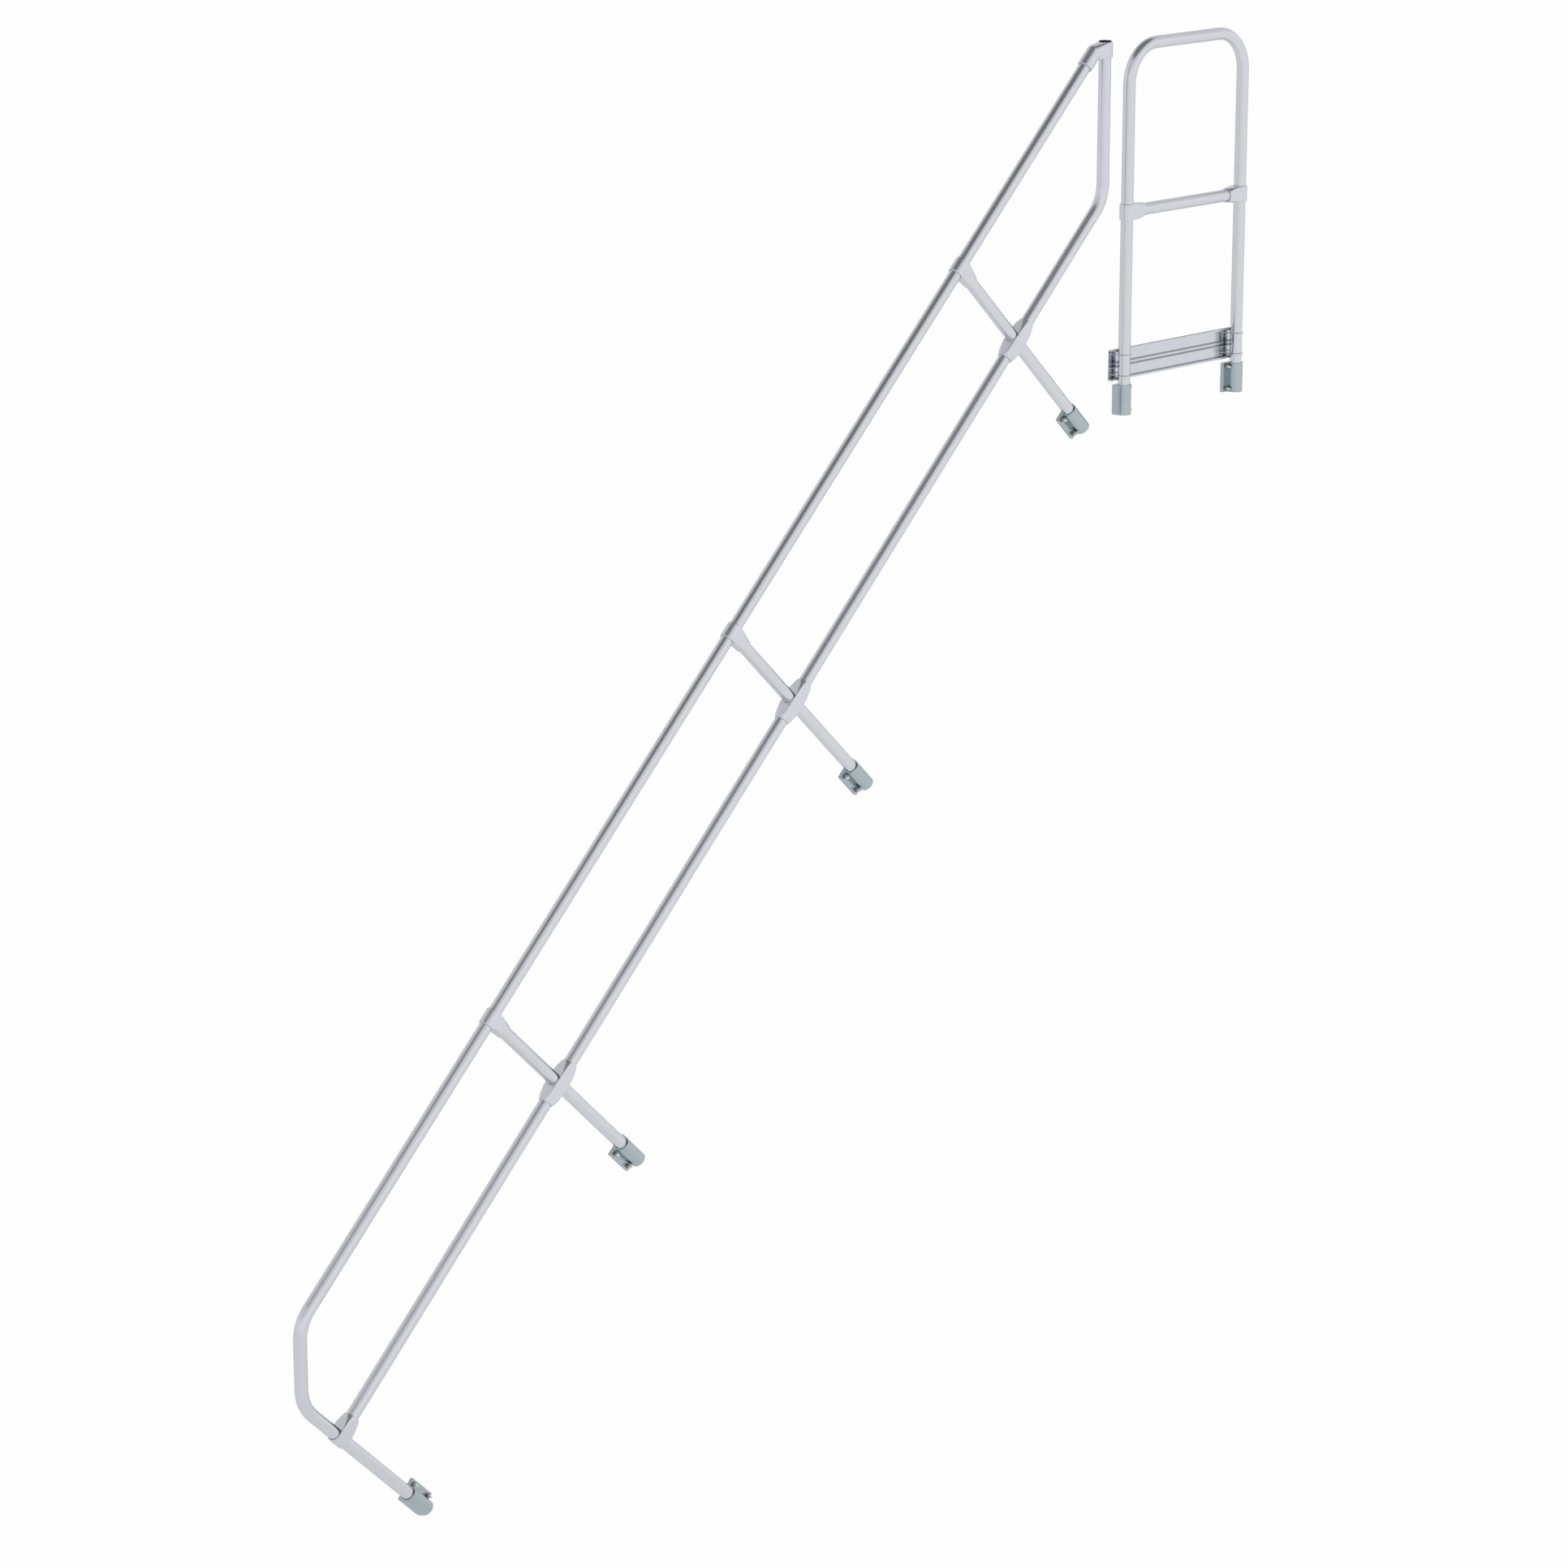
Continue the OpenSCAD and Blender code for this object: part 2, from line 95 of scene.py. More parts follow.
def math_node(operation: str, reflected: bool = False) -> Callable[["Signal", Any], "Signal"]:
    """Make a method that adds a Math node.

    Args:
        operation: Blender's name of the operation.
        reflected: Whether the other value comes first, as in 1 - mask.

    Returns:
        The method, which takes a signal and another value.
    """
    def method(signal: "Signal", other: Any) -> "Signal":
        """The signal and the other value, combined by the operation."""
        pair = (other, signal) if reflected else (signal, other)
        return signal.graph.node("ShaderNodeMath", {"operation": operation}, dict(enumerate(pair)))
    return method


class Signal:
    """A shader socket that takes part in Python arithmetic."""

    __add__ = math_node("ADD")
    __radd__ = math_node("ADD", True)
    __sub__ = math_node("SUBTRACT")
    __rsub__ = math_node("SUBTRACT", True)
    __mul__ = math_node("MULTIPLY")
    __rmul__ = math_node("MULTIPLY", True)
    __truediv__ = math_node("DIVIDE")
    __rtruediv__ = math_node("DIVIDE", True)
    __pow__ = math_node("POWER")
    __rpow__ = math_node("POWER", True)
    highest = math_node("MAXIMUM")

    def __init__(self, graph: "ShaderGraph", socket: bpy.types.NodeSocket) -> None:
        """Keep the socket and the graph that its new nodes go to."""
        self.graph = graph
        self.socket = socket


class ShaderGraph:
    """Node tree of one material or world."""

    def __init__(self, owner: Any) -> None:
        """Empty the owner's node tree.

        Args:
            owner: The material or world that holds the tree.
        """
        owner.use_nodes = True
        self.tree = owner.node_tree
        self.tree.nodes.clear()

    def node(self, kind: str, settings: Mapping[str, Any] | None = None,
             sockets: Mapping[Any, Any] | None = None, output: Any = 0) -> Signal:
        """Add a node.

        Args:
            kind: Blender's type name of the node.
            settings: Its properties, set first; stops are a ramp's places and levels.
            sockets: Values or signals of its inputs, by name or number.
            output: The output that is handed back.

        Returns:
            The chosen output.
        """
        made = self.tree.nodes.new(kind)
        for name, value in (settings or {}).items():
            if name == "stops":
                self._set_stops(made.color_ramp, value)
            else:
                setattr(made, name, value)
        for key, value in (sockets or {}).items():
            if isinstance(value, Signal):
                self.tree.links.new(value.socket, made.inputs[key])
            else:
                made.inputs[key].default_value = value
        return Signal(self, made.outputs[output] if len(made.outputs) else None)

    @staticmethod
    def _set_stops(ramp: bpy.types.ColorRamp, stops: Sequence[tuple[float, float]]) -> None:
        """Give a ramp its grey stops.

        Args:
            ramp: The ramp.
            stops: Pairs of a place and a level.
        """
        while len(ramp.elements) < len(stops):
            ramp.elements.new(1.0)
        for element, (place, level) in zip(ramp.elements, stops):
            element.position = place
            element.color = (level, level, level, 1.0)

    def object_place(self) -> Signal:
        """Object coordinates of the shaded point."""
        return self.node("ShaderNodeTexCoord", output="Object")

    def noise(self, place: Signal, scale: float, detail: float) -> Signal:
        """Noise from 0 to 1 at a place, by its grains to a metre and its octaves of detail."""
        return self.node("ShaderNodeTexNoise", None,
                         {"Vector": place, "Scale": scale, "Detail": detail, "Roughness": NOISE_ROUGHNESS})

    def dot(self, first: Any, second: Any) -> Signal:
        """Dot product of two vectors."""
        return self.node("ShaderNodeVectorMath", {"operation": "DOT_PRODUCT"}, {0: first, 1: second}, "Value")

    def shaded_colour(self, colour: Colour, light: Signal) -> Signal:
        """A colour scaled by a value that lies about 1."""
        return self.node("ShaderNodeVectorMath", {"operation": "SCALE"}, {0: colour, "Scale": light})

    def surface(self, sockets: Mapping[str, Any]) -> None:
        """End the tree in a Principled surface with the given sockets."""
        shader = self.node("ShaderNodeBsdfPrincipled", None, sockets)
        self.node("ShaderNodeOutputMaterial", None, {"Surface": shader})


class Grain(Enum):
    """Direction of the drawing lines on a tube, as its angle above the level, in degrees."""

    UP_SLOPE = 45.0
    DOWN_SLOPE = -45.0
    LEVEL = 0.0
    UPRIGHT = 90.0


@dataclass(frozen=True)
class Layer:
    """One noise of a finish, and how far it moves the tone, the roughness and the height of the surface."""

    grains: float
    tone: float
    gloss: float
    detail: float = 2.0
    bump: float = 0.0
    height: float = 0.05 * MM
    stretch: float = 1.0

    def noise(self, graph: ShaderGraph, place: Signal) -> Signal:
        """The layer's noise, drawn out along X by its stretch.

        Args:
            graph: The graph that the nodes go to.
            place: Coordinates, in metres.

        Returns:
            The noise, from 0 to 1.
        """
        if self.stretch != 1.0:
            place = graph.node("ShaderNodeVectorMath", {"operation": "MULTIPLY"}, {
                0: place, 1: (1.0 / self.stretch, 1.0, 1.0)})
        return graph.noise(place, self.grains, self.detail)


@dataclass(frozen=True)
class Finish:
    """Base of the finishes: a name, a colour, a mean roughness and layers of noise, the slowest first."""

    name: str
    colour: Colour
    roughness: float
    layers: tuple[Layer, ...] = ()
    edge: float = 1.0
    metallic: float = 1.0
    specular: float = 0.5

    def material(self) -> bpy.types.Material:
        """Make the finish's material, or find the one made before.

        Returns:
            The material.
        """
        found = bpy.data.materials.get(self.name)
        if found is None:
            found = bpy.data.materials.new(self.name)
            self.paint(ShaderGraph(found))
        return found

    def place(self, graph: ShaderGraph) -> Signal:
        """Coordinates that the layers are laid out on."""
        return graph.object_place()

    def paint(self, graph: ShaderGraph) -> None:
        """Fill the node tree: each layer moves the tone and the roughness about their means and adds its bump.

        Args:
            graph: The material's graph.
        """
        place = self.place(graph)
        tone: Any = 1.0 - sum(layer.tone for layer in self.layers) / 2
        rough: Any = self.roughness - sum(layer.gloss for layer in self.layers) / 2
        normal: dict[str, Signal] = {}
        for layer in self.layers:
            noise = layer.noise(graph, place)
            tone = tone + noise * layer.tone
            rough = rough + noise * layer.gloss
            if layer.bump:
                normal = {"Normal": graph.node("ShaderNodeBump", None, {
                    "Strength": layer.bump, "Distance": layer.height, "Height": noise, **normal})}
        graph.surface({"Base Color": graph.shaded_colour(self.colour, tone), "Roughness": rough,
                       "Metallic": self.metallic, "Specular IOR Level": self.specular,
                       "Specular Tint": (self.edge, self.edge, self.edge, 1.0), **normal})


@dataclass(frozen=True)
class DrawnAluminium(Finish):
    """Satin anodised aluminium: faint clouding of the skin under fine drawing lines along the metal."""

    layers: tuple[Layer, ...] = (
        Layer(9.0, tone=0.04, gloss=0.05, detail=3.0),
        Layer(1500.0, tone=0.02, gloss=0.03, bump=0.05, stretch=250.0))
    edge: float = SOFT_EDGE
    grain: Grain = Grain.UP_SLOPE

    def place(self, graph: ShaderGraph) -> Signal:
        """Object coordinates, turned so that X runs along the metal."""
        return graph.node("ShaderNodeMapping", None, {
            "Vector": graph.object_place(), "Rotation": (0.0, math.radians(self.grain.value), 0.0)})


@dataclass(frozen=True)
class CastAluminium(Finish):
    """Die cast aluminium: fine blasted grain over slow waves of the casting skin."""

    layers: tuple[Layer, ...] = (
        Layer(160.0, tone=0.05, gloss=0.05, bump=0.06, height=0.25 * MM),
        Layer(1600.0, tone=0.02, gloss=0.03, bump=0.08))
    edge: float = SOFT_EDGE


@dataclass(frozen=True)
class GreyClampSkin(Finish):
    """Grey anodised extrusion of the clamps, duller than the tubes: fine speckle with slow clouding."""

    layers: tuple[Layer, ...] = (
        Layer(25.0, tone=0.07, gloss=0.03),
        Layer(900.0, tone=0.04, gloss=0.05, detail=3.0, bump=0.12, height=0.06 * MM))
    edge: float = SOFT_EDGE


@dataclass(frozen=True)
class ZincSteel(Finish):
    """Zinc plate on steel fasteners: cloudy, with a little change of gloss."""

    layers: tuple[Layer, ...] = (Layer(700.0, tone=0.2, gloss=0.12, detail=3.0, bump=0.08),)


@dataclass(frozen=True)
class MouldedBlack(Finish):
    """Matt black plastic with the spark-eroded texture of its mould."""

    layers: tuple[Layer, ...] = (Layer(1400.0, tone=0.4, gloss=0.1, bump=0.25, height=0.1 * MM),)
    metallic: float = 0.0
    specular: float = 0.12


TUBE_COLOUR: Colour = (0.630, 0.656, 0.692)
TUBE_ROUGHNESS = 0.12
CAST = CastAluminium("cast_aluminium", (0.640, 0.663, 0.706), 0.16)
CLAMP = GreyClampSkin("grey_clamp", (0.425, 0.490, 0.522), 0.25)
BOARD = DrawnAluminium("toe_board_aluminium", (0.626, 0.648, 0.690), 0.16, edge=0.5, grain=Grain.LEVEL)
STEEL = ZincSteel("zinc_steel", (0.60, 0.61, 0.62), 0.24)
# Zinc steel of the studs, made lighter than the other zinc steel: a painted highlight for the bright stud
# ends.
HIGHLIGHT_PAINTED_STUD_STEEL = ZincSteel("zinc_steel_painted_highlight", (0.72, 0.73, 0.735), 0.22)
# Zinc steel of the clamp nuts, made darker than the other zinc steel: painted shade for their dark hex sides.
SHADE_PAINTED_NUT_STEEL = ZincSteel("zinc_steel_painted_shade", (0.40, 0.385, 0.385), 0.28)
# Zinc steel of the clamp washers, made darker still: painted contact shadow round the clamp nuts.
CONTACT_SHADOW_PAINTED_STEEL = ZincSteel("zinc_steel_painted_contact_shadow", (0.26, 0.26, 0.265), 0.35)
PLUG = MouldedBlack("plug_black", (0.0055, 0.0062, 0.0072), 0.7)


def tube_finish(grain: Grain) -> DrawnAluminium:
    """Finish of a tube whose drawing lines run in a direction."""
    return DrawnAluminium(f"drawn_tube_{grain.name.lower()}", TUBE_COLOUR, TUBE_ROUGHNESS, grain=grain)


class Pick(Enum):
    """What is selected in edit mode, as Blender's selection mode."""

    POINTS = (True, False, False)
    EDGES = (False, True, False)
    FACES = (False, False, True)


class Act(Enum):
    """What a tool does to a body, as Blender's Boolean operation."""

    CUT = "DIFFERENCE"
    FUSE = "UNION"
    TRIM = "INTERSECT"


class Axis(Enum):
    """Axis of a bar or a bore, with its number."""

    X = 0
    Y = 1
    Z = 2

    @property
    def turn(self) -> tuple[float, float, float]:
        """Turns about X, Y and Z that bring a bar from Z to the axis."""
        return {0: (0.0, math.pi / 2, 0.0), 1: (-math.pi / 2, 0.0, 0.0), 2: (0.0, 0.0, 0.0)}[self.value]

    def spread(self, along: float, across: float = 0.0) -> list[float]:
        """One number on the axis and another on the two axes across it."""
        return [along if axis is self else across for axis in Axis]


class Bench:
    """Modelling by operators, on one new object at a time."""

    NEAR = 0.01 * MM
    FACING = 0.9
    FLAT_TURN = math.radians(0.02)
    SOFT_TURN = math.radians(40.0)
    SMOOTH_TURN = math.radians(32.0)
    SOFT_SEGMENTS = 2
    ROUND = 0.5

    @staticmethod
    def clear() -> None:
        """Go to object mode with nothing selected."""
        if bpy.context.mode != "OBJECT":
            bpy.ops.object.mode_set(mode="OBJECT")
        bpy.ops.object.select_all(action="DESELECT")

    @classmethod
    def hold(cls, *pieces: Piece) -> None:
        """Select only some pieces and make the first one active.

        Args:
            pieces: The pieces.
        """
        cls.clear()
        for piece in pieces:
            piece.select_set(True)
        bpy.context.view_layer.objects.active = pieces[0]

    @staticmethod
    def applied() -> Piece:
        """The active piece, with its place, turn and scale applied to its mesh."""
        bpy.ops.object.transform_apply(location=True, rotation=True, scale=True)
        return bpy.context.active_object

    @classmethod
    @contextmanager
    def edit(cls, piece: Piece, what: Pick = Pick.POINTS,
             test: Callable[[Vector, Vector], bool] | None = None) -> Iterator[None]:
        """Open a piece in edit mode, with all of it selected or what passes a test, and close it again.

        Args:
            piece: The piece.
            what: What is selected; edges are tested by their ends, faces by their centre and normal.
            test: Says which edges or faces are selected.

        Returns:
            A context, with the piece in edit mode inside it.
        """
        cls.hold(piece)
        if test is not None:
            mesh = piece.data
            for part in (mesh.vertices, mesh.edges, mesh.polygons):
                part.foreach_set("select", [False] * len(part))
            for edge in mesh.edges if what is Pick.EDGES else ():
                edge.select = test(*(mesh.vertices[i].co for i in edge.vertices))
            for face in mesh.polygons if what is Pick.FACES else ():
                face.select = test(face.center, face.normal)
        bpy.context.tool_settings.mesh_select_mode = what.value
        bpy.ops.object.mode_set(mode="EDIT")
        if test is None:
            bpy.ops.mesh.select_all(action="SELECT")
        yield
        bpy.ops.object.mode_set(mode="OBJECT")

    @classmethod
    def modify(cls, piece: Piece, kind: str, **settings: Any) -> None:
        """Add a modifier to a piece, set it and apply it.

        Args:
            piece: The piece.
            kind: Blender's type name of the modifier.
            settings: Its properties.
        """
        cls.hold(piece)
        change = piece.modifiers.new(kind.lower(), kind)
        for name, value in settings.items():
            setattr(change, name, value)
        bpy.ops.object.modifier_apply(modifier=change.name)

    @classmethod
    def bar(cls, radius: float, start: float, end: float, along: Axis, sides: int,
            rims: Sequence[float] = (), width: float = 0.0, segments: int = 1) -> Piece:
        """Add a round bar on an axis, and round some of its rims.

        Args:
            radius: Radius of the bar.
            start: Where it starts on the axis.
            end: Where it ends on the axis.
            along: The axis.
            sides: Number of sides.
            rims: Where the rims that are rounded lie on the axis.
            width: Width of the roundings.
            segments: Faces across a rounding.

        Returns:
            The bar, with its place in its mesh.
        """
        cls.clear()
        bpy.ops.mesh.primitive_cylinder_add(vertices=sides, radius=radius, depth=end - start,
                                            location=along.spread((start + end) / 2), rotation=along.turn)
        piece = cls.applied()
        axis = along.value
        for rim in rims:
            with cls.edit(piece, Pick.EDGES, lambda *ends: all(abs(p[axis] - rim) < cls.NEAR for p in ends)):
                bpy.ops.mesh.bevel(offset=width, segments=segments, profile=cls.ROUND,
                                   affect="EDGES", clamp_overlap=True)
        return piece

    @classmethod
    def block(cls, low: Sequence[float], high: Sequence[float]) -> Piece:
        """Add a block.

        Args:
            low: Its lowest corner.
            high: Its highest corner.

        Returns:
            The block, with its place in its mesh.
        """
        cls.clear()
        bpy.ops.mesh.primitive_cube_add(size=1.0)
        piece = bpy.context.active_object
        piece.scale = [b - a for a, b in zip(low, high)]
        piece.location = [(a + b) / 2 for a, b in zip(low, high)]
        return cls.applied()

    @classmethod
    def prism(cls, outline: Sequence[tuple[float, float]], start: float, end: float) -> Piece:
        """Add a prism along Z by drawing a circle's points to an outline and extruding it.

        Args:
            outline: Points round the outline, on X and Y.
            start: Where the prism starts on Z.
            end: Where it ends on Z.

        Returns:
            The prism.
        """
        cls.clear()
        bpy.ops.mesh.primitive_circle_add(vertices=len(outline), radius=1.0, fill_type="NGON")
        piece = bpy.context.active_object
        for vertex, (x, y) in zip(piece.data.vertices, outline):
            vertex.co = (x, y, start)
        with cls.edit(piece):
            bpy.ops.mesh.extrude_region_move(TRANSFORM_OT_translate={"value": (0.0, 0.0, end - start)})
            bpy.ops.mesh.select_all(action="SELECT")
            bpy.ops.mesh.normals_make_consistent(inside=False)
        return piece

    @classmethod
    def pane(cls, x: float, width: float, height: float, corner: float, segments: int) -> Piece:
        """Add a flat pane with round corners, square to X.

        Args:
            x: Its place on X.
            width: Half its width, along Y.
            height: Half its height, along Z.
            corner: Radius of its corners.
            segments: Edges on each corner.

        Returns:
            The pane.
        """
        cls.clear()
        bpy.ops.mesh.primitive_plane_add(size=2.0)
        piece = bpy.context.active_object
        cls.place(piece, Matrix.Translation((x, 0.0, 0.0)) @ Matrix.Rotation(math.pi / 2, 4, "Y")
                  @ Matrix.Diagonal((height, width, 1.0, 1.0)))
        with cls.edit(piece):
            bpy.ops.mesh.bevel(offset_type="ABSOLUTE", offset=corner, segments=segments, profile=cls.ROUND,
                               affect="VERTICES", clamp_overlap=True)
        return piece

    @classmethod
    def place(cls, piece: Piece, where: Matrix) -> Piece:
        """Move a piece and apply the move to its mesh.

        Args:
            piece: The piece.
            where: The move.

        Returns:
            The same piece.
        """
        cls.hold(piece)
        piece.matrix_world = where
        return cls.applied()

    @classmethod
    def clean(cls, piece: Piece) -> None:
        """Merge points that lie on each other and dissolve faces without area.

        Args:
            piece: The piece.
        """
        with cls.edit(piece):
            bpy.ops.mesh.remove_doubles(threshold=cls.NEAR)
            bpy.ops.mesh.dissolve_degenerate(threshold=cls.NEAR)

    @classmethod
    def soften(cls, piece: Piece, width: float) -> None:
        """Break the sharp edges of a piece.

        Args:
            piece: The piece.
            width: Width of the broken edges.
        """
        cls.clean(piece)
        cls.modify(piece, "BEVEL", width=width, segments=cls.SOFT_SEGMENTS, limit_method="ANGLE",
                   angle_limit=cls.SOFT_TURN)

    @classmethod
    def flare(cls, piece: Piece, along: Axis, sign: int, rise: float, growth: float) -> None:
        """Draw an end face out and scale it, as for a countersink.

        Args:
            piece: The bar.
            along: The bar's axis.
            sign: Which end, 1 or -1.
            rise: How far the end is drawn out.
            growth: Scale of the new end face.
        """
        with cls.edit(piece, Pick.FACES, lambda centre, normal: normal[along.value] * sign > cls.FACING):
            bpy.ops.mesh.extrude_region_move(TRANSFORM_OT_translate={"value": along.spread(sign * rise)})
            bpy.ops.transform.resize(value=along.spread(1.0, growth))

    @classmethod
    def wrap(cls, pieces: Sequence[Piece]) -> Piece:
        """Join pieces and stretch one convex skin over them.

        Args:
            pieces: The pieces.

        Returns:
            The skin.
        """
        body = cls.join(pieces)
        with cls.edit(body):
            bpy.ops.mesh.convex_hull(join_triangles=True)
            bpy.ops.mesh.select_all(action="SELECT")
            bpy.ops.mesh.dissolve_limited(angle_limit=cls.FLAT_TURN)
        return body

    @classmethod
    def join(cls, pieces: Sequence[Piece]) -> Piece:
        """Join pieces into the first one.

        Args:
            pieces: The pieces.

        Returns:
            The first piece.
        """
        cls.hold(*pieces)
        if len(pieces) > 1:
            bpy.ops.object.join()
        return pieces[0]

    @classmethod
    def combine(cls, body: Piece, tool: Piece, act: Act) -> None:
        """Let a tool act on a body, and remove the tool."""
        cls.modify(body, "BOOLEAN", operation=act.value, solver="EXACT", object=tool)
        cls.discard(tool)

    @classmethod
    def copy_to(cls, master: Piece, name: str, place: Matrix) -> Piece:
        """Copy a piece with its own mesh to a place.

        Args:
            master: The piece to copy.
            name: Name of the copy.
            place: Matrix from the master's frame to the part's frame.

        Returns:
            The copy, at the origin, with its place in its mesh.
        """
        cls.hold(master)
        bpy.ops.object.duplicate(linked=False)
        piece = bpy.context.active_object
        piece.name = name
        return cls.place(piece, place)

    @classmethod
    def smooth(cls, piece: Piece) -> None:
        """Shade a piece smooth across its slight turns, led by its larger faces.

        Args:
            piece: The piece.
        """
        cls.clean(piece)
        bpy.ops.object.shade_smooth_by_angle(angle=cls.SMOOTH_TURN)
        cls.modify(piece, "WEIGHTED_NORMAL", keep_sharp=True)

    @staticmethod
    def discard(*pieces: Piece) -> None:
        """Remove pieces that only served as tools or to be copied."""
        for piece in pieces:
            bpy.data.objects.remove(piece)


def settle(piece: Piece, finish: Finish, nodes: Iterable[str] = ()) -> None:
    """Shade and dress a piece, let it ride on the part's body and hide the CAD nodes that it stands for.

    Args:
        piece: The finished mesh.
        finish: Its finish.
        nodes: The CAD nodes that it stands for.
    """
    Bench.smooth(piece)
    piece.data.name = piece.name
    piece.data.materials.clear()
    piece.data.materials.append(finish.material())
    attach(piece, "root")
    names = list(nodes)
    if names:
        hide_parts(*names)
    LOG.info("%s: %d faces", piece.name, len(piece.data.polygons))


@dataclass(frozen=True)
class Layout:
    """Places on the stair's plane and on the guard, from the part's driving sizes in metres."""

    slope: float = math.radians(45.0)
    clamp_drop: float = 0.781
    foot_pitch: float = 1.233
    post_pitch: float = 1.400
    post_count: int = 3
    top_run: float = 0.570
    knee_gap: float = 0.370
    clamp_back: float = 0.025
    elbow_neck: float = 0.0496
    elbow_length: float = 0.050
    end_cut: float = 0.003
    guard_gap: float = 0.120
    guard_width: float = 0.560
    guard_lift: float = 0.0034
    guard_drop: float = 1.139
    mid_drop: float = 0.530
    clamp_length: float = 0.098
    stud_out: float = 33.5 * MM
    stud_pitch: float = 74.0 * MM
    board_gap: float = 0.012

    @property
    def posts(self) -> list[float]:
        """Distances of the posts up the slope."""
        return [self.foot_pitch + i * self.post_pitch for i in range(self.post_count)]

    @property
    def end_post(self) -> float:
        """X of the end post's axis."""
        return self.slope_point(self.posts[-1] + self.top_run, self.knee_gap).x

    @property
    def elbow_height(self) -> float:
        """Z of the elbow's corner."""
        reach = self.end_post - self.elbow_neck + self.clamp_drop * math.sin(self.slope)
        return self.slope_point(reach / math.cos(self.slope), 0.0).z

    @property
    def guard_posts(self) -> list[float]:
        """X of the guard's two posts."""
        left = self.end_post + self.guard_gap
        return [left, left + self.guard_width]

    @property
    def guard_top(self) -> float:
        """Z of the guard's top tube."""
        return self.elbow_height + self.guard_lift

    @property
    def guard_clamp(self) -> float:
        """Z of the middle of the guard's clamps."""
        return self.guard_top - self.guard_drop

    @property
    def board_foot(self) -> float:
        """Z of the toe board's lower edge."""
        return self.guard_clamp + self.clamp_length / 2 + self.board_gap

    def slope_point(self, along: float, down: float) -> Vector:
        """Point on the tubes' plane.

        Args:
            along: Distance up the slope.
            down: Distance from the top rail down along the posts.

        Returns:
            The point, in the part's frame.
        """
        lower = down - self.clamp_drop
        return Vector((along * math.cos(self.slope) + lower * math.sin(self.slope), -self.clamp_back,
                       along * math.sin(self.slope) - lower * math.cos(self.slope)))

    def on_slope(self, along: float, down: float) -> Matrix:
        """Frame with X up along the rails and Z up along the posts."""
        return Matrix.Translation(self.slope_point(along, down)) @ Matrix.Rotation(-self.slope, 4, "Y")

    def upright(self, x: float, z: float) -> Matrix:
        """Upright frame on the tubes' plane."""
        return Matrix.Translation(Vector((x, -self.clamp_back, z)))

    def stud_shifts(self, side: int) -> list[Matrix]:
        """Moves from a clamp's frame to its two studs, with the flange on a side, 1 or -1."""
        return [Matrix.Translation((side * self.stud_out, 0.0, end * self.stud_pitch / 2)) for end in (-1, 1)]

    def clamps(self) -> list[tuple[str, Matrix, int]]:
        """Places of the clamps.

        Returns:
            Name, frame and side of the flange, 1 or -1, of every clamp.
        """
        found = [("foot_clamp", self.on_slope(0.0, self.clamp_drop), 1)]
        for i, along in enumerate(self.posts):
            found.append((f"post_clamp_{i + 1}", self.on_slope(along, self.clamp_drop), -1))
        for name, x, side in zip(("left", "right"), self.guard_posts, (1, -1)):
            found.append((f"guard_clamp_{name}", self.upright(x, self.guard_clamp), side))
        return found


@dataclass
class SubAssembly:
    """Base of the sub-assemblies: the layout, the fineness of round shapes and how far cutters overrun."""

    layout: Layout
    sides: int = 128
    hole_sides: int = 48
    segments: int = 5
    over: float = 2.0 * MM


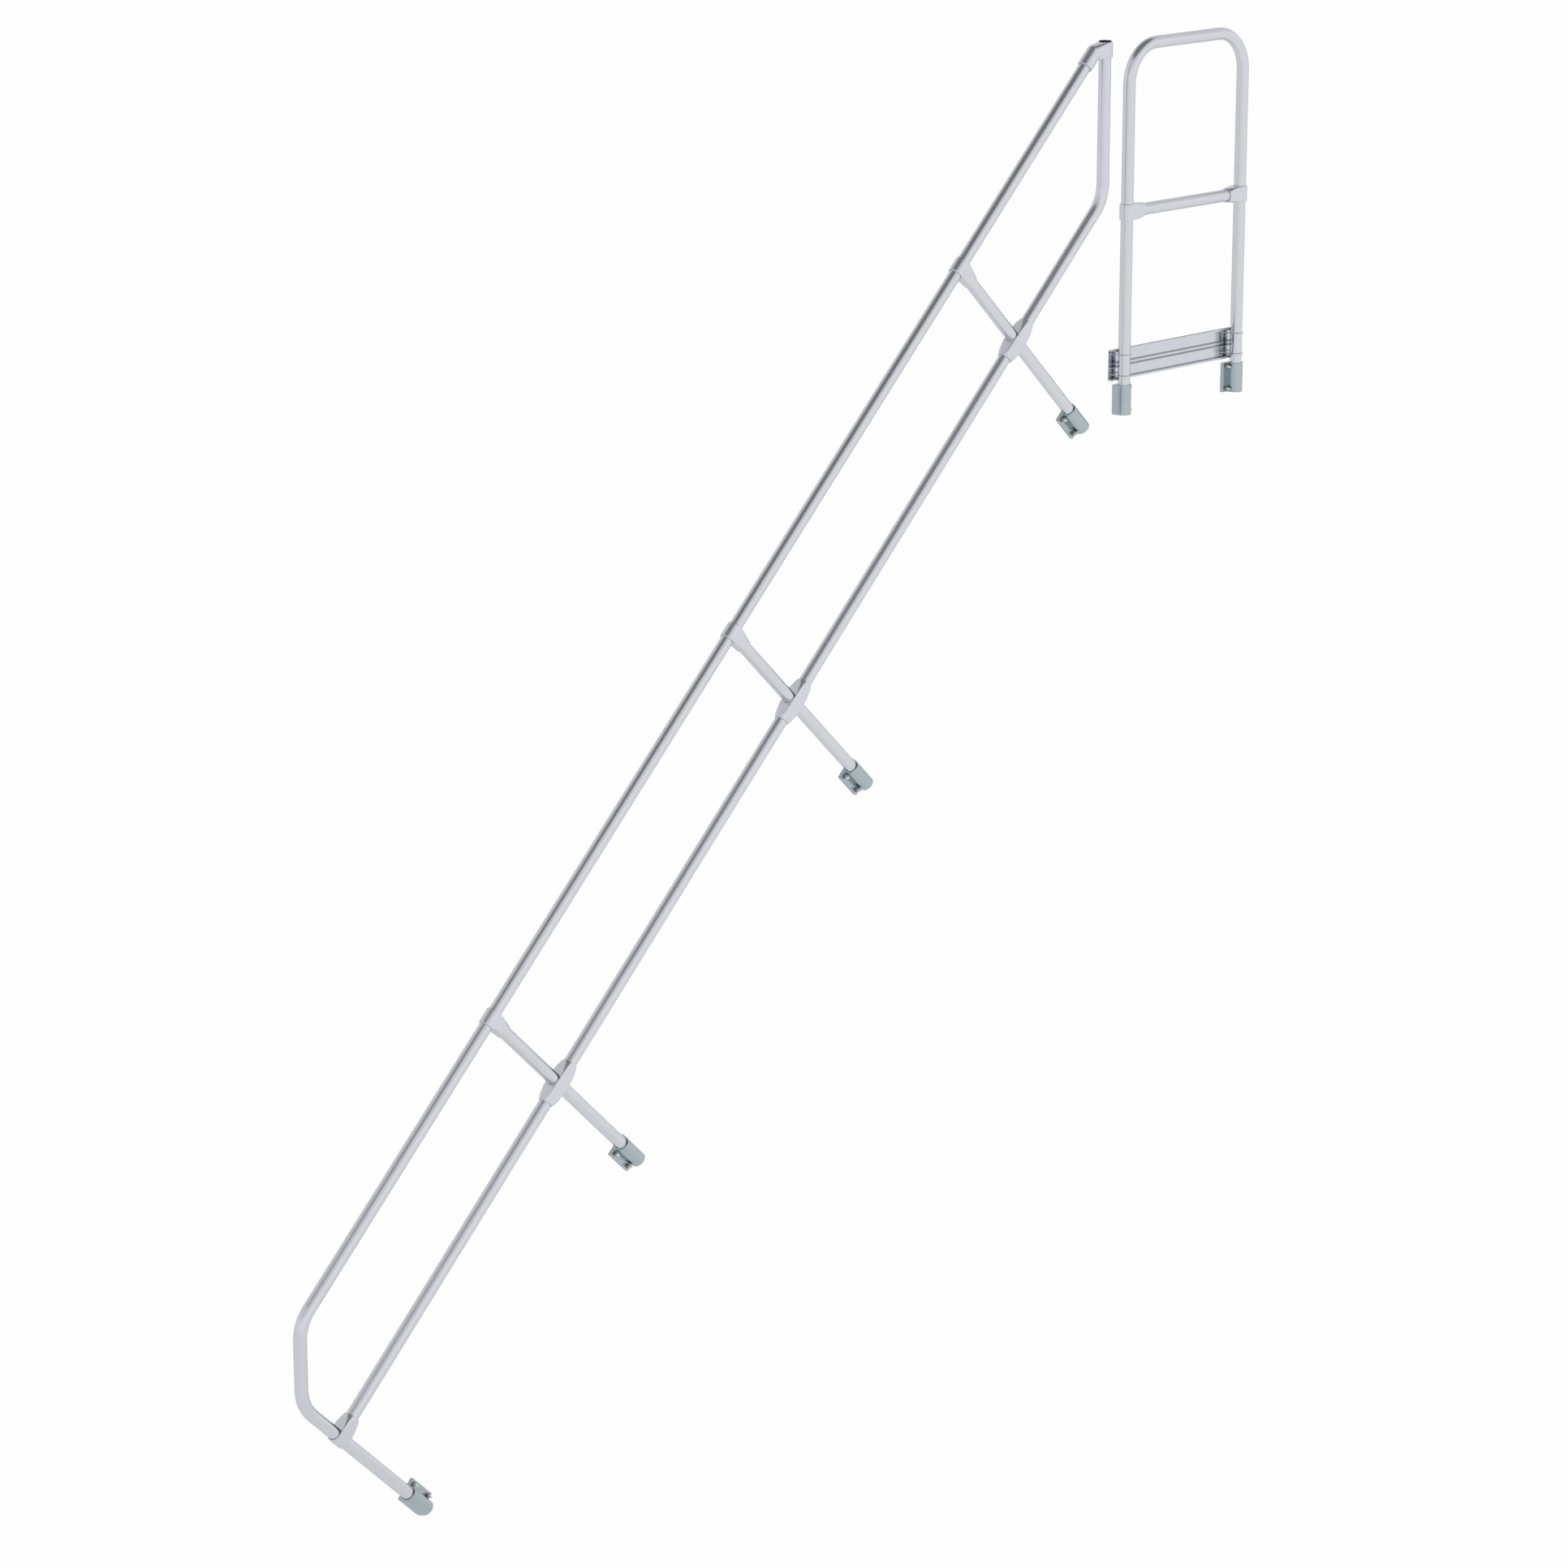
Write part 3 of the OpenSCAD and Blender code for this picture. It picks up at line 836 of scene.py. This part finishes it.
@dataclass
class CastFittings(SubAssembly):
    """Tees, crosses and the top elbow: cast bodies with soft edges and bored sockets."""

    sleeve_radius: float = 24.5 * MM
    sleeve_length: float = 51.0 * MM
    sleeve_round: float = 2.0 * MM
    socket_radius: float = 23.6 * MM
    socket_reach: float = 71.0 * MM
    socket_lip: float = 5.0 * MM
    socket_floor: float = 23.8 * MM
    rim_round: float = 1.4 * MM
    bore_radius: float = 20.2 * MM
    mouth: float = 0.8 * MM
    mouth_growth: float = 1.035
    screw_hole: float = 3.1 * MM
    screw_inset: float = 14.0 * MM
    rings: int = 18
    corner_segments: int = 10
    tee_flank: float = 0.97
    cross_flank: float = 0.3
    elbow_socket: float = 67.0 * MM
    elbow_floor: float = 17.0 * MM
    elbow_heel: float = 12.0 * MM
    neck_step: float = 0.2 * MM
    neck_lap: float = 0.5 * MM
    clear: float = 0.02 * MM
    neck_disc: float = 1.0 * MM

    def build(self) -> None:
        """Model each kind once and copy it to its places."""
        places = self.layout
        turn_down = Matrix.Rotation(math.pi / 2, 4, "Y")
        rail_tee = self.tee((1,), self.tee_flank)
        tee = self.tee((1,), self.cross_flank)
        cross = self.tee((-1, 1), self.cross_flank)
        tee_left = self.tee((-1,), self.cross_flank)
        for i, along in enumerate(places.posts):
            self.set_down(rail_tee, f"rail_tee_{i + 1}", places.on_slope(along, 0.0) @ turn_down)
            self.set_down(cross, f"cross_{i + 1}", places.on_slope(along, places.knee_gap))
        self.set_down(tee, "foot_tee", places.on_slope(0.0, places.knee_gap))
        middle = places.guard_top - places.mid_drop
        left, right = places.guard_posts
        self.set_down(tee, "guard_tee_left", places.upright(left, middle))
        self.set_down(tee_left, "guard_tee_right", places.upright(right, middle))
        elbow = self.elbow()
        corner = places.upright(places.end_post - places.elbow_neck, places.elbow_height)
        self.set_down(elbow, "top_elbow", corner)
        Bench.discard(rail_tee, tee, cross, tee_left, elbow)

    def set_down(self, master: Piece, node: str, place: Matrix) -> None:
        """Copy a master to where a CAD node is, and dress it."""
        piece = Bench.copy_to(master, f"{node}_casting", place)
        settle(piece, CAST, [node])

    def bar(self, radius: float, start: float, end: float, along: Axis, rims: Sequence[float],
            width: float) -> Piece:
        """Round bar of a casting, with some of its rims rounded."""
        return Bench.bar(radius, start, end, along, self.sides, rims, width, self.segments)

    def bore(self, body: Piece, start: float, end: float, along: Axis, mouths: Sequence[int]) -> None:
        """Bore a socket, with a lead-in at its mouths.

        Args:
            body: The fitting.
            start: Where the bore starts on its axis.
            end: Where it ends on its axis.
            along: The axis.
            mouths: Signs of the ends that are open.
        """
        lead = self.mouth - self.clear
        low = start + (lead if -1 in mouths else 0.0)
        high = end - (lead if 1 in mouths else 0.0)
        cutter = Bench.bar(self.bore_radius, low, high, along, self.sides)
        for sign in mouths:
            Bench.flare(cutter, along, sign, self.mouth, self.mouth_growth)
            Bench.flare(cutter, along, sign, self.over, 1.0)
        Bench.combine(body, cutter, Act.CUT)

    def drill_screw(self, body: Piece, place: Matrix) -> None:
        """Drill a set screw's hole from the back.

        Args:
            body: The fitting.
            place: Move from the fitting's axis to the hole.
        """
        start, end = self.bore_radius - self.over, self.sleeve_radius + self.over
        drill = Bench.bar(self.screw_hole, start, end, Axis.Y, self.hole_sides)
        Bench.combine(body, Bench.place(drill, place), Act.CUT)

    def blend(self, sign: int, flank: float) -> list[Piece]:
        """Panes between the sleeve and a socket's lip, square at the sleeve and round at the lip.

        Args:
            sign: Side of the socket, 1 or -1.
            flank: How straight the corners run, from 0, a full curve, to 1, a straight line.

        Returns:
            The panes, from the sleeve to the lip.
        """
        reach = self.socket_reach - self.socket_lip
        first = math.acos(1.0 - self.sleeve_round / self.sleeve_radius)
        panes = []
        for i in range(self.rings):
            turn = first + (math.pi / 2 - first) * i / self.rings
            share = math.sin(turn)
            width = self.sleeve_radius + share * (self.socket_radius - self.sleeve_radius)
            height = self.sleeve_length / 2 + share * (self.socket_radius - self.sleeve_length / 2)
            corner = width * ((1.0 - flank) * (1.0 - math.cos(turn)) + flank * share)
            panes.append(Bench.pane(sign * share * reach, width, height, corner, self.corner_segments))
        return panes

    def tee(self, sockets: Sequence[int], flank: float) -> Piece:
        """Fitting round a tube along Z, with a socket along X on each of the named sides.

        Args:
            sockets: Signs of the sides that have a socket.
            flank: How straight the sockets' corners run, from 0 to 1.

        Returns:
            The bored body in its own frame.
        """
        half = self.sleeve_length / 2
        parts = [self.bar(self.sleeve_radius, -half, half, Axis.Z, (-half, half), self.sleeve_round)]
        for sign in sockets:
            inner, rim = sign * (self.socket_reach - self.socket_lip), sign * self.socket_reach
            low, high = sorted((inner, rim))
            parts.append(self.bar(self.socket_radius, low, high, Axis.X, (rim,), self.rim_round))
            parts.extend(self.blend(sign, flank))
        body = Bench.wrap(parts)
        self.bore(body, -half, half, Axis.Z, (-1, 1))
        self.drill_screw(body, Matrix.Identity(4))
        for sign in sockets:
            floor, rim = sign * self.socket_floor, sign * self.socket_reach
            self.bore(body, *sorted((floor, rim)), Axis.X, (sign,))
            self.drill_screw(body, Matrix.Translation((rim - sign * self.screw_inset, 0.0, 0.0)))
        return body

    def elbow(self) -> Piece:
        """Elbow from the inclined top rail to the upright end post, in the frame of its corner.

        Returns:
            The bored body.
        """
        half = self.layout.elbow_length / 2
        incline = Matrix.Rotation(-self.layout.slope, 4, "Y")
        across = Matrix.Translation((self.layout.elbow_neck, 0.0, 0.0))
        rim = -self.elbow_socket
        socket = self.bar(self.sleeve_radius, rim, -self.neck_lap, Axis.X, (rim,), self.rim_round)
        neck = self.sleeve_radius - self.neck_step
        disc = Bench.bar(neck, -self.neck_disc, 0.0, Axis.X, self.sides)
        heel = self.bar(neck, -half, 0.0, Axis.Z, (-half,), self.sleeve_round)
        sleeve = self.bar(self.sleeve_radius, -half, half, Axis.Z, (-half, half), self.sleeve_round)
        Bench.place(heel, Matrix.Translation((self.elbow_heel, 0.0, 0.0)))
        for piece, place in ((socket, incline), (disc, incline), (sleeve, across)):
            Bench.place(piece, place)
        body = Bench.wrap([disc, heel, sleeve])
        Bench.combine(body, socket, Act.FUSE)
        self.bore_in(incline, body, rim, -self.elbow_floor, Axis.X, (-1,))
        self.bore_in(across, body, -half, half, Axis.Z, (-1, 1))
        self.drill_screw(body, incline @ Matrix.Translation((rim + self.screw_inset, 0.0, 0.0)))
        self.drill_screw(body, across)
        return body

    def bore_in(self, frame: Matrix, body: Piece, *cut: Any) -> None:
        """Bore a body on an axis of another frame, by moving the body to the cutter and back.

        Args:
            frame: The frame that the bore is given in.
            body: The fitting.
            cut: Start, end, axis and mouths of the bore.
        """
        Bench.place(body, frame.inverted())
        self.bore(body, *cut)
        Bench.place(body, frame)


@dataclass
class Clamps(SubAssembly):
    """Grey clamps at the feet of the posts: a round front on a heel, and a split flange for two studs."""

    front_radius: float = 24.5 * MM
    bore_radius: float = 20.2 * MM
    heel: float = 28.5 * MM
    heel_foot: float = 14.0 * MM
    heel_angle: float = math.radians(200.0)
    wall_angle: float = math.radians(-9.5)
    flange_reach: float = 46.5 * MM
    flange: float = 13.5 * MM
    slit: float = 0.4 * MM
    slit_back: float = 4.6 * MM
    stud_hole: float = 4.4 * MM
    edge: float = 0.5 * MM
    front_steps: int = 52

    def build(self) -> None:
        """Model the clamp once and copy it to the posts, turned over where its flange is on the other side."""
        master = self.clamp()
        turned = Matrix.Rotation(math.pi, 4, "Y")
        for name, frame, side in self.layout.clamps():
            piece = Bench.copy_to(master, f"{name}_extrusion", frame if side > 0 else frame @ turned)
            settle(piece, CLAMP, [name])
        Bench.discard(master)

    def clamp(self) -> Piece:
        """Clamp round a tube along Z, with its flange towards X and its mounting face at the back.

        Returns:
            The clamp, drilled and with broken edges.
        """
        half = self.layout.clamp_length / 2
        past = half + self.over
        body = Bench.prism(self.outline(), -half, half)
        Bench.combine(body, Bench.bar(self.bore_radius, -past, past, Axis.Z, self.sides), Act.CUT)
        Bench.soften(body, self.edge)
        slit_end = self.layout.clamp_back - self.slit_back
        slit = Bench.block((0.0, slit_end - self.slit, -past), (self.flange_reach + self.over, slit_end, past))
        Bench.combine(body, slit, Act.CUT)
        for hole in self.layout.stud_shifts(1):
            drill = Bench.bar(self.stud_hole, 0.0, self.layout.clamp_back + self.over, Axis.Y, self.hole_sides)
            Bench.combine(body, Bench.place(drill, hole), Act.CUT)
        return body

    def outline(self) -> list[tuple[float, float]]:
        """Outline of the clamp round its tube's axis, before it is bored.

        Returns:
            Points on X and Y, from the heel round the front to the flange.
        """
        back = self.layout.clamp_back
        front = back - self.flange
        span = self.wall_angle + 2.0 * math.pi - self.heel_angle
        turns = [self.heel_angle + span * i / self.front_steps for i in range(self.front_steps + 1)]
        arc = [(self.front_radius * math.cos(turn), self.front_radius * math.sin(turn)) for turn in turns]
        flange = [(self.front_radius, front), (self.flange_reach, front), (self.flange_reach, back)]
        return [(-self.heel, back), (-self.heel, back - self.heel_foot), *arc, *flange]


@dataclass
class ToeBoard(SubAssembly):
    """Extruded toe board, open to the front, with two ribs and a skirt along each edge."""

    front: float = 20.2 * MM
    depth: float = 13.0 * MM
    height: float = 100.0 * MM
    past_post: float = 41.0 * MM
    wall: float = 2.0 * MM
    top_skirt: float = 5.0 * MM
    foot_skirt: float = 6.3 * MM
    low_rib: float = 44.3 * MM
    high_rib: float = 57.3 * MM
    hole: float = 2.4 * MM
    edge: float = 0.35 * MM
    hole_sides: int = 32

    def build(self, legs: Sequence[Matrix]) -> None:
        """Cut the board's bays out of a block and drill it for the U-bolts' legs.

        Args:
            legs: Frames of the U-bolts' legs, with Z towards the back.
        """
        left, right = self.layout.guard_posts
        face = self.front - self.layout.clamp_back
        low = Vector((left - self.past_post, face, self.layout.board_foot))
        high = Vector((right + self.past_post, face + self.depth, self.layout.board_foot + self.height))
        body = Bench.block(low, high)
        web = self.depth - self.wall
        bays = [(-self.over, self.foot_skirt, self.low_rib - self.wall),
                (-self.over, self.low_rib, self.high_rib - self.wall),
                (-self.over, self.high_rib, self.height - self.top_skirt),
                (self.wall, self.height - self.top_skirt - self.over, self.height - self.wall),
                (self.wall, -self.over, self.foot_skirt - self.wall)]
        for start, foot, top in bays:
            bay = Bench.block((low.x - self.over, low.y + start, low.z + foot),
                              (high.x + self.over, low.y + web, low.z + top))
            Bench.combine(body, bay, Act.CUT)
        Bench.soften(body, self.edge)
        for leg in legs:
            drill = Bench.bar(self.hole, 0.0, self.front + self.depth + self.over, Axis.Z, self.hole_sides)
            Bench.combine(body, Bench.place(drill, leg), Act.CUT)
        body.name = "toe_board_extrusion"
        settle(body, BOARD, ["toe_board"])


@dataclass
class EndPlug(SubAssembly):
    """Moulded plug in the end post, with a rounded head and a shallow dish."""

    radius: float = 20.0 * MM
    head: float = 6.0 * MM
    stem_radius: float = 17.8 * MM
    stem: float = 20.0 * MM
    seat: float = 0.05 * MM
    head_round: float = 1.6 * MM
    dish_rim: float = 3.0 * MM
    dish_depth: float = 0.7 * MM
    level: float = 0.99

    def build(self) -> None:
        """Model the plug on the end post's top."""
        top = self.layout.elbow_height + self.layout.elbow_length / 2 - self.layout.end_cut + self.seat
        head = Bench.bar(self.radius, 0.0, self.head, Axis.Z, self.sides, (self.head,),
                         self.head_round, self.segments)
        crown = self.head - Bench.NEAR
        with Bench.edit(head, Pick.FACES, lambda centre, normal: normal.z > self.level and centre.z > crown):
            bpy.ops.mesh.inset(thickness=self.dish_rim)
            bpy.ops.mesh.inset(thickness=self.dish_depth, depth=-self.dish_depth)
        with Bench.edit(head, Pick.FACES, lambda centre, normal: normal.z < -self.level):
            bpy.ops.mesh.inset(thickness=self.radius - self.stem_radius)
            bpy.ops.mesh.extrude_region_move(TRANSFORM_OT_translate={"value": (0.0, 0.0, -self.stem)})
        piece = Bench.copy_to(head, "end_plug_moulding", self.layout.upright(self.layout.end_post, top))
        Bench.discard(head)
        settle(piece, PLUG, ["end_plug"])


@dataclass(frozen=True)
class ScrewSize:
    """Radii and pitch of a screw thread, and the sizes of its washer and nut."""

    rod: float
    root: float
    crest: float
    pitch: float
    washer_radius: float
    washer: float
    nut_flats: float
    nut_height: float
    nut_hole: float


@dataclass
class Fasteners(SubAssembly):
    """Studs, washers and nuts of the clamps, and nuts, washers and threads of the U-bolts."""

    large: ScrewSize = ScrewSize(
        rod=4.0 * MM, root=3.3 * MM, crest=3.95 * MM, pitch=1.25 * MM, washer_radius=7.5 * MM,
        washer=1.6 * MM, nut_flats=13.0 * MM, nut_height=6.5 * MM, nut_hole=3.5 * MM)
    small: ScrewSize = ScrewSize(
        rod=2.0 * MM, root=1.9 * MM, crest=2.15 * MM, pitch=0.7 * MM, washer_radius=4.5 * MM,
        washer=0.8 * MM, nut_flats=7.0 * MM, nut_height=3.2 * MM, nut_hole=1.9 * MM)
    stud_core: float = 3.35 * MM
    stud_tail: float = 8.0 * MM
    stud_tip: float = 10.0 * MM
    stud_chamfer: float = 0.7 * MM
    plain_tip: float = 0.6 * MM
    plain_tail: float = 1.5 * MM
    flange_front: float = 11.5 * MM
    washer_play: float = 0.2 * MM
    washer_edge: float = 0.2
    washer_segments: int = 2
    nut_sides: int = 6
    nut_face: float = 0.475
    nut_lead: float = math.radians(30.0)
    nut_turn: float = math.radians(17.0)
    countersink: float = 0.2
    ubolt_radius: float = 22.2 * MM
    ubolt_heights: tuple[float, float] = (17.5 * MM, 86.0 * MM)
    ubolt_tip: float = 2.0 * MM
    board_back: float = 33.2 * MM
    thread_steps: int = 20
    ridge_sides: int = 3
    ridge_height: float = 1.5
    round_sides: int = 72
    over: float = 1.0 * MM

    def build(self) -> None:
        """Model each fastener once and copy it to its places."""
        studs, legs = self.stud_places(), self.leg_places()
        self.spread(self.stud(), "clamp_studs", studs, 0.0, HIGHLIGHT_PAINTED_STUD_STEEL)
        seat = self.flange_front - self.large.washer
        self.spread(self.flat_washer(self.large), "clamp_washers", studs, seat, CONTACT_SHADOW_PAINTED_STEEL)
        self.spread(self.nut(self.large), "clamp_nuts", studs, self.nut_front, SHADE_PAINTED_NUT_STEEL)
        self.spread(self.flat_washer(self.small), "toe_washers", legs, self.board_back, STEEL)
        depth = self.board_back + self.small.washer
        self.spread(self.nut(self.small), "toe_nuts", legs, depth, STEEL)
        thread = self.thread(self.small, 0.0, self.ubolt_tip - self.small.pitch)
        self.spread(thread, "toe_u_bolt_threads", legs, depth + self.small.nut_height, STEEL, False)

    @property
    def nut_front(self) -> float:
        """Where the front of a clamp's nut lies behind the clamp's axis."""
        return self.flange_front - self.large.washer - self.large.nut_height

    def stud_places(self) -> list[Matrix]:
        """Frames at every stud of the clamps, with Z towards the back."""
        return [frame @ shift @ BACKWARD for _, frame, side in self.layout.clamps()
                for shift in self.layout.stud_shifts(side)]

    def leg_places(self) -> list[Matrix]:
        """Frames at every leg of the U-bolts, with Z towards the back."""
        return [self.layout.upright(x + side * self.ubolt_radius, self.layout.board_foot + height) @ BACKWARD
                for x in self.layout.guard_posts for height in self.ubolt_heights for side in (-1, 1)]

    def spread(self, master: Piece, node: str, places: Sequence[Matrix], depth: float,
               finish: Finish, stands: bool = True) -> None:
        """Copy a fastener to all its places, each turned a little further, as one piece.

        Args:
            master: The fastener, along Z.
            node: Name of the CAD node, or of the new piece where it stands for none.
            places: Frames of the fasteners' axes.
            depth: Where the master's origin lies on those axes.
            finish: Finish of the copies.
            stands: Whether the piece stands for the CAD node of that name.
        """
        copies = []
        for i, place in enumerate(places):
            shift = Matrix.Translation((0.0, 0.0, depth)) @ Matrix.Rotation(i * self.nut_turn, 4, "Z")
            copies.append(Bench.copy_to(master, f"{node}_copy_{i}", place @ shift))
        piece = Bench.join(copies)
        piece.name = f"{node}_set" if stands else node
        Bench.discard(master)
        settle(piece, finish, [node] if stands else [])

    def thread(self, size: ScrewSize, start: float, length: float) -> Piece:
        """Helical ridge of a screw thread along Z, wound from a triangle.

        Args:
            size: Size of the thread.
            start: Where the ridge starts on Z.
            length: Length of the thread.

        Returns:
            The closed ridge.
        """
        reach = (size.crest - size.root) / self.ridge_height
        Bench.clear()
        bpy.ops.mesh.primitive_circle_add(vertices=self.ridge_sides, radius=reach, fill_type="NGON",
                                          rotation=(math.pi / 2, math.pi / 2, 0.0),
                                          location=(size.root + reach / 2, 0.0, start + size.pitch / 2))
        ridge = Bench.applied()
        turns = max(1, int(length / size.pitch))
        Bench.modify(ridge, "SCREW", steps=self.thread_steps, render_steps=self.thread_steps,
                     screw_offset=size.pitch, iterations=turns, use_merge_vertices=False)
        with Bench.edit(ridge):
            bpy.ops.mesh.select_all(action="DESELECT")
            bpy.ops.mesh.select_non_manifold()
            bpy.ops.mesh.fill_holes(sides=0)
            bpy.ops.mesh.select_all(action="SELECT")
            bpy.ops.mesh.normals_make_consistent(inside=False)
        return ridge

    def stud(self) -> Piece:
        """Stud with a thread on its tip and on its tail, from its clamp's axis.

        Returns:
            The rod and its threads, as one piece.
        """
        back = self.layout.clamp_back
        tip, end = self.nut_front - self.stud_tip, back + self.stud_tail
        rod = Bench.bar(self.stud_core, tip, end, Axis.Z, self.hole_sides, (tip, end), self.stud_chamfer)
        front = self.thread(self.large, tip + self.plain_tip, self.stud_tip)
        rear = self.thread(self.large, back, self.stud_tail - self.plain_tail)
        return Bench.join([rod, front, rear])

    def flat_washer(self, size: ScrewSize) -> Piece:
        """Washer with broken edges, on Z.

        Args:
            size: Size of its screw.

        Returns:
            The washer.
        """
        top = size.washer
        body = Bench.bar(size.washer_radius, 0.0, top, Axis.Z, self.round_sides, (0.0, top),
                         top * self.washer_edge, self.washer_segments)
        drill = Bench.bar(size.rod + self.washer_play, -self.over, top + self.over, Axis.Z, self.round_sides)
        Bench.combine(body, drill, Act.CUT)
        return body

    def nut(self, size: ScrewSize) -> Piece:
        """Hexagon nut with turned corners and a countersunk hole, on Z.

        Args:
            size: Size of its screw.

        Returns:
            The nut.
        """
        corner = size.nut_flats / 2 / math.cos(math.pi / self.nut_sides)
        face = self.nut_face * size.nut_flats
        drop = (corner - face) * math.tan(self.nut_lead)
        sink = size.nut_hole * self.countersink
        body = Bench.bar(corner, 0.0, size.nut_height, Axis.Z, self.nut_sides)
        barrel = Bench.bar(corner, drop, size.nut_height - drop, Axis.Z, self.round_sides)
        drill = Bench.bar(size.nut_hole, sink, size.nut_height - sink, Axis.Z, self.hole_sides)
        for sign in (-1, 1):
            Bench.flare(barrel, Axis.Z, sign, drop, face / corner)
            Bench.flare(drill, Axis.Z, sign, sink, 1.0 + self.countersink)
            Bench.flare(drill, Axis.Z, sign, self.over, 1.0)
        Bench.combine(body, barrel, Act.TRIM)
        Bench.combine(body, drill, Act.CUT)
        return body


@dataclass
class CarriedParts:
    """Tubes, U-bolts and set screws, which keep their CAD shape and get a finish."""

    nodes: Mapping[str, Piece]
    grains: dict[str, Grain] = field(default_factory=lambda: {
        "top_rail": Grain.UP_SLOPE, "post_1": Grain.DOWN_SLOPE, "post_2": Grain.DOWN_SLOPE,
        "post_3": Grain.DOWN_SLOPE, "knee_rail_1": Grain.UP_SLOPE, "knee_rail_2": Grain.UP_SLOPE,
        "knee_rail_3": Grain.UP_SLOPE, "knee_rail_top": Grain.UPRIGHT, "guard_hoop": Grain.UPRIGHT,
        "guard_mid_rail": Grain.LEVEL})
    steel: tuple[str, ...] = ("rail_set_screws", "guard_set_screws", "toe_u_bolts")

    def dress(self) -> None:
        """Give the tubes their drawn finish, each along its grain, and the fasteners their plate."""
        finishes: dict[str, Finish] = {name: tube_finish(grain) for name, grain in self.grains.items()}
        finishes.update(dict.fromkeys(self.steel, STEEL))
        for name, finish in finishes.items():
            for holder in self.nodes[name].material_slots:
                holder.material = finish.material()
            LOG.info("%s: %s", name, finish.name)


@dataclass
class Studio:
    """Pale floor, soft surround with a darker ceiling, and the camera."""

    ground: float
    floor_size: float = 600.0
    floor_colour: float = 0.82
    floor_glow: float = 0.97
    floor_gap: float = 4.0 * MM
    camera_place: tuple[float, float, float] = (-8.5631, -10.1228, 5.8675)
    camera_down: float = 15.5354
    camera_turn: float = -44.9954
    lens: float = 110.94
    sensor: float = 36.0
    surround: tuple[tuple[float, float], ...] = (
        (0.00, 0.962), (0.17, 1.0), (0.26, 0.99), (0.42, 0.91), (0.59, 0.837), (0.72, 0.76),
        (0.777, 0.683), (0.80, 0.577), (0.82, 0.452), (0.84, 0.327), (0.866, 0.269), (1.00, 0.25))
    surround_level: float = 1.04
    glow_from: tuple[float, float, float] = (0.39, -0.92, 0.0)
    glow_centre: tuple[float, float, float] = (1.7, 0.0, 0.0)
    glow_height: float = 2.0
    mean_glow: float = 0.925
    back_glow: float = 0.05
    front_glow: float = 0.06

    def build(self) -> None:
        """Lay the floor, light the surround and place the camera."""
        bpy.context.scene.view_settings.view_transform = "Standard"
        self.lay_floor()
        self.light_surround()
        self.place_camera()

    def lay_floor(self) -> None:
        """Floor that is white to the camera, mirrors the surround's glow and keeps a faint shadow."""
        Bench.clear()
        height = self.ground - self.floor_gap
        bpy.ops.mesh.primitive_plane_add(size=self.floor_size, location=(0.0, 0.0, height))
        floor = bpy.context.active_object
        floor.name = "studio_floor"
        material = bpy.data.materials.new("studio_white")
        graph = ShaderGraph(material)
        camera, glossy, through = (graph.node("ShaderNodeLightPath", output=f"Is {ray} Ray")
                                   for ray in ("Camera", "Glossy", "Transmission"))
        seen = camera.highest(glossy).highest(through)
        grey = (self.floor_colour, self.floor_colour, self.floor_colour, 1.0)
        matt = graph.node("ShaderNodeBsdfDiffuse", None, {"Color": grey})
        place = graph.node("ShaderNodeVectorMath", {"operation": "SUBTRACT"}, {
            0: graph.object_place(), 1: self.glow_centre})
        reach = (graph.dot(place, place) + self.glow_height ** 2) ** 0.5
        mirrored = self.glow(graph.dot(place, self.glow_from) / reach)
        shown = mirrored + camera * (1.0 - mirrored)
        white = graph.node("ShaderNodeEmission", None, {"Color": shown, "Strength": 1.0})
        mixed = graph.node("ShaderNodeMixShader", None, {0: seen * self.floor_glow, 1: matt, 2: white})
        graph.node("ShaderNodeOutputMaterial", None, {"Surface": mixed})
        floor.data.materials.append(material)
        floor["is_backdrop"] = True

    def light_surround(self) -> None:
        """Surround that is bright near the horizon and falls to a dark ceiling."""
        world = bpy.data.worlds.new("studio_surround")
        bpy.context.scene.world = world
        graph = ShaderGraph(world)
        way = graph.node("ShaderNodeTexCoord", output="Generated")
        height = graph.node("ShaderNodeSeparateXYZ", None, {0: way}, "Z")
        level = graph.node("ShaderNodeValToRGB", {"stops": self.surround}, {0: height})
        strength = self.glow(graph.dot(way, self.glow_from)) * self.surround_level
        light = graph.node("ShaderNodeBackground", None, {"Color": level, "Strength": strength})
        graph.node("ShaderNodeOutputWorld", None, {"Surface": light})

    def glow(self, facing: Signal) -> Signal:
        """Level of the light by how far a direction faces the side that the light comes from, -1 to 1."""
        return self.mean_glow + facing * self.back_glow + facing.highest(0.0) * self.front_glow

    def place_camera(self) -> None:
        """Camera at the photograph's viewing angle."""
        data = bpy.data.cameras.new("photo_camera")
        data.lens = self.lens
        data.sensor_width = self.sensor
        data.clip_end = self.floor_size
        camera = bpy.data.objects.new("photo_camera", data)
        bpy.context.scene.collection.objects.link(camera)
        camera.location = self.camera_place
        camera.rotation_euler = (math.radians(90.0 - self.camera_down), 0.0, math.radians(self.camera_turn))
        bpy.context.scene.camera = camera


def write_sizes(cad: Sequence[Vector]) -> None:
    """Make plain lists of the CAD box and the visual model's box; they are not kept.

    Args:
        cad: Corners of the CAD box.
    """
    boxes = {"cad": cad, "visual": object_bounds()}
    {name: [list(corner) for corner in box] for name, box in boxes.items()}


def main() -> None:
    """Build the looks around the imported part."""
    logging.basicConfig(level=logging.INFO, format="%(name)s %(message)s")
    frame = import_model()
    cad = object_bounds()
    layout = Layout()
    CarriedParts(frame["nodes"]).dress()
    CastFittings(layout).build()
    EndPlug(layout).build()
    Clamps(layout).build()
    fasteners = Fasteners(layout)
    ToeBoard(layout).build(fasteners.leg_places())
    fasteners.build()
    Studio(cad[0][2]).build()
    write_sizes(cad)


if __name__ == "__main__":
    main()
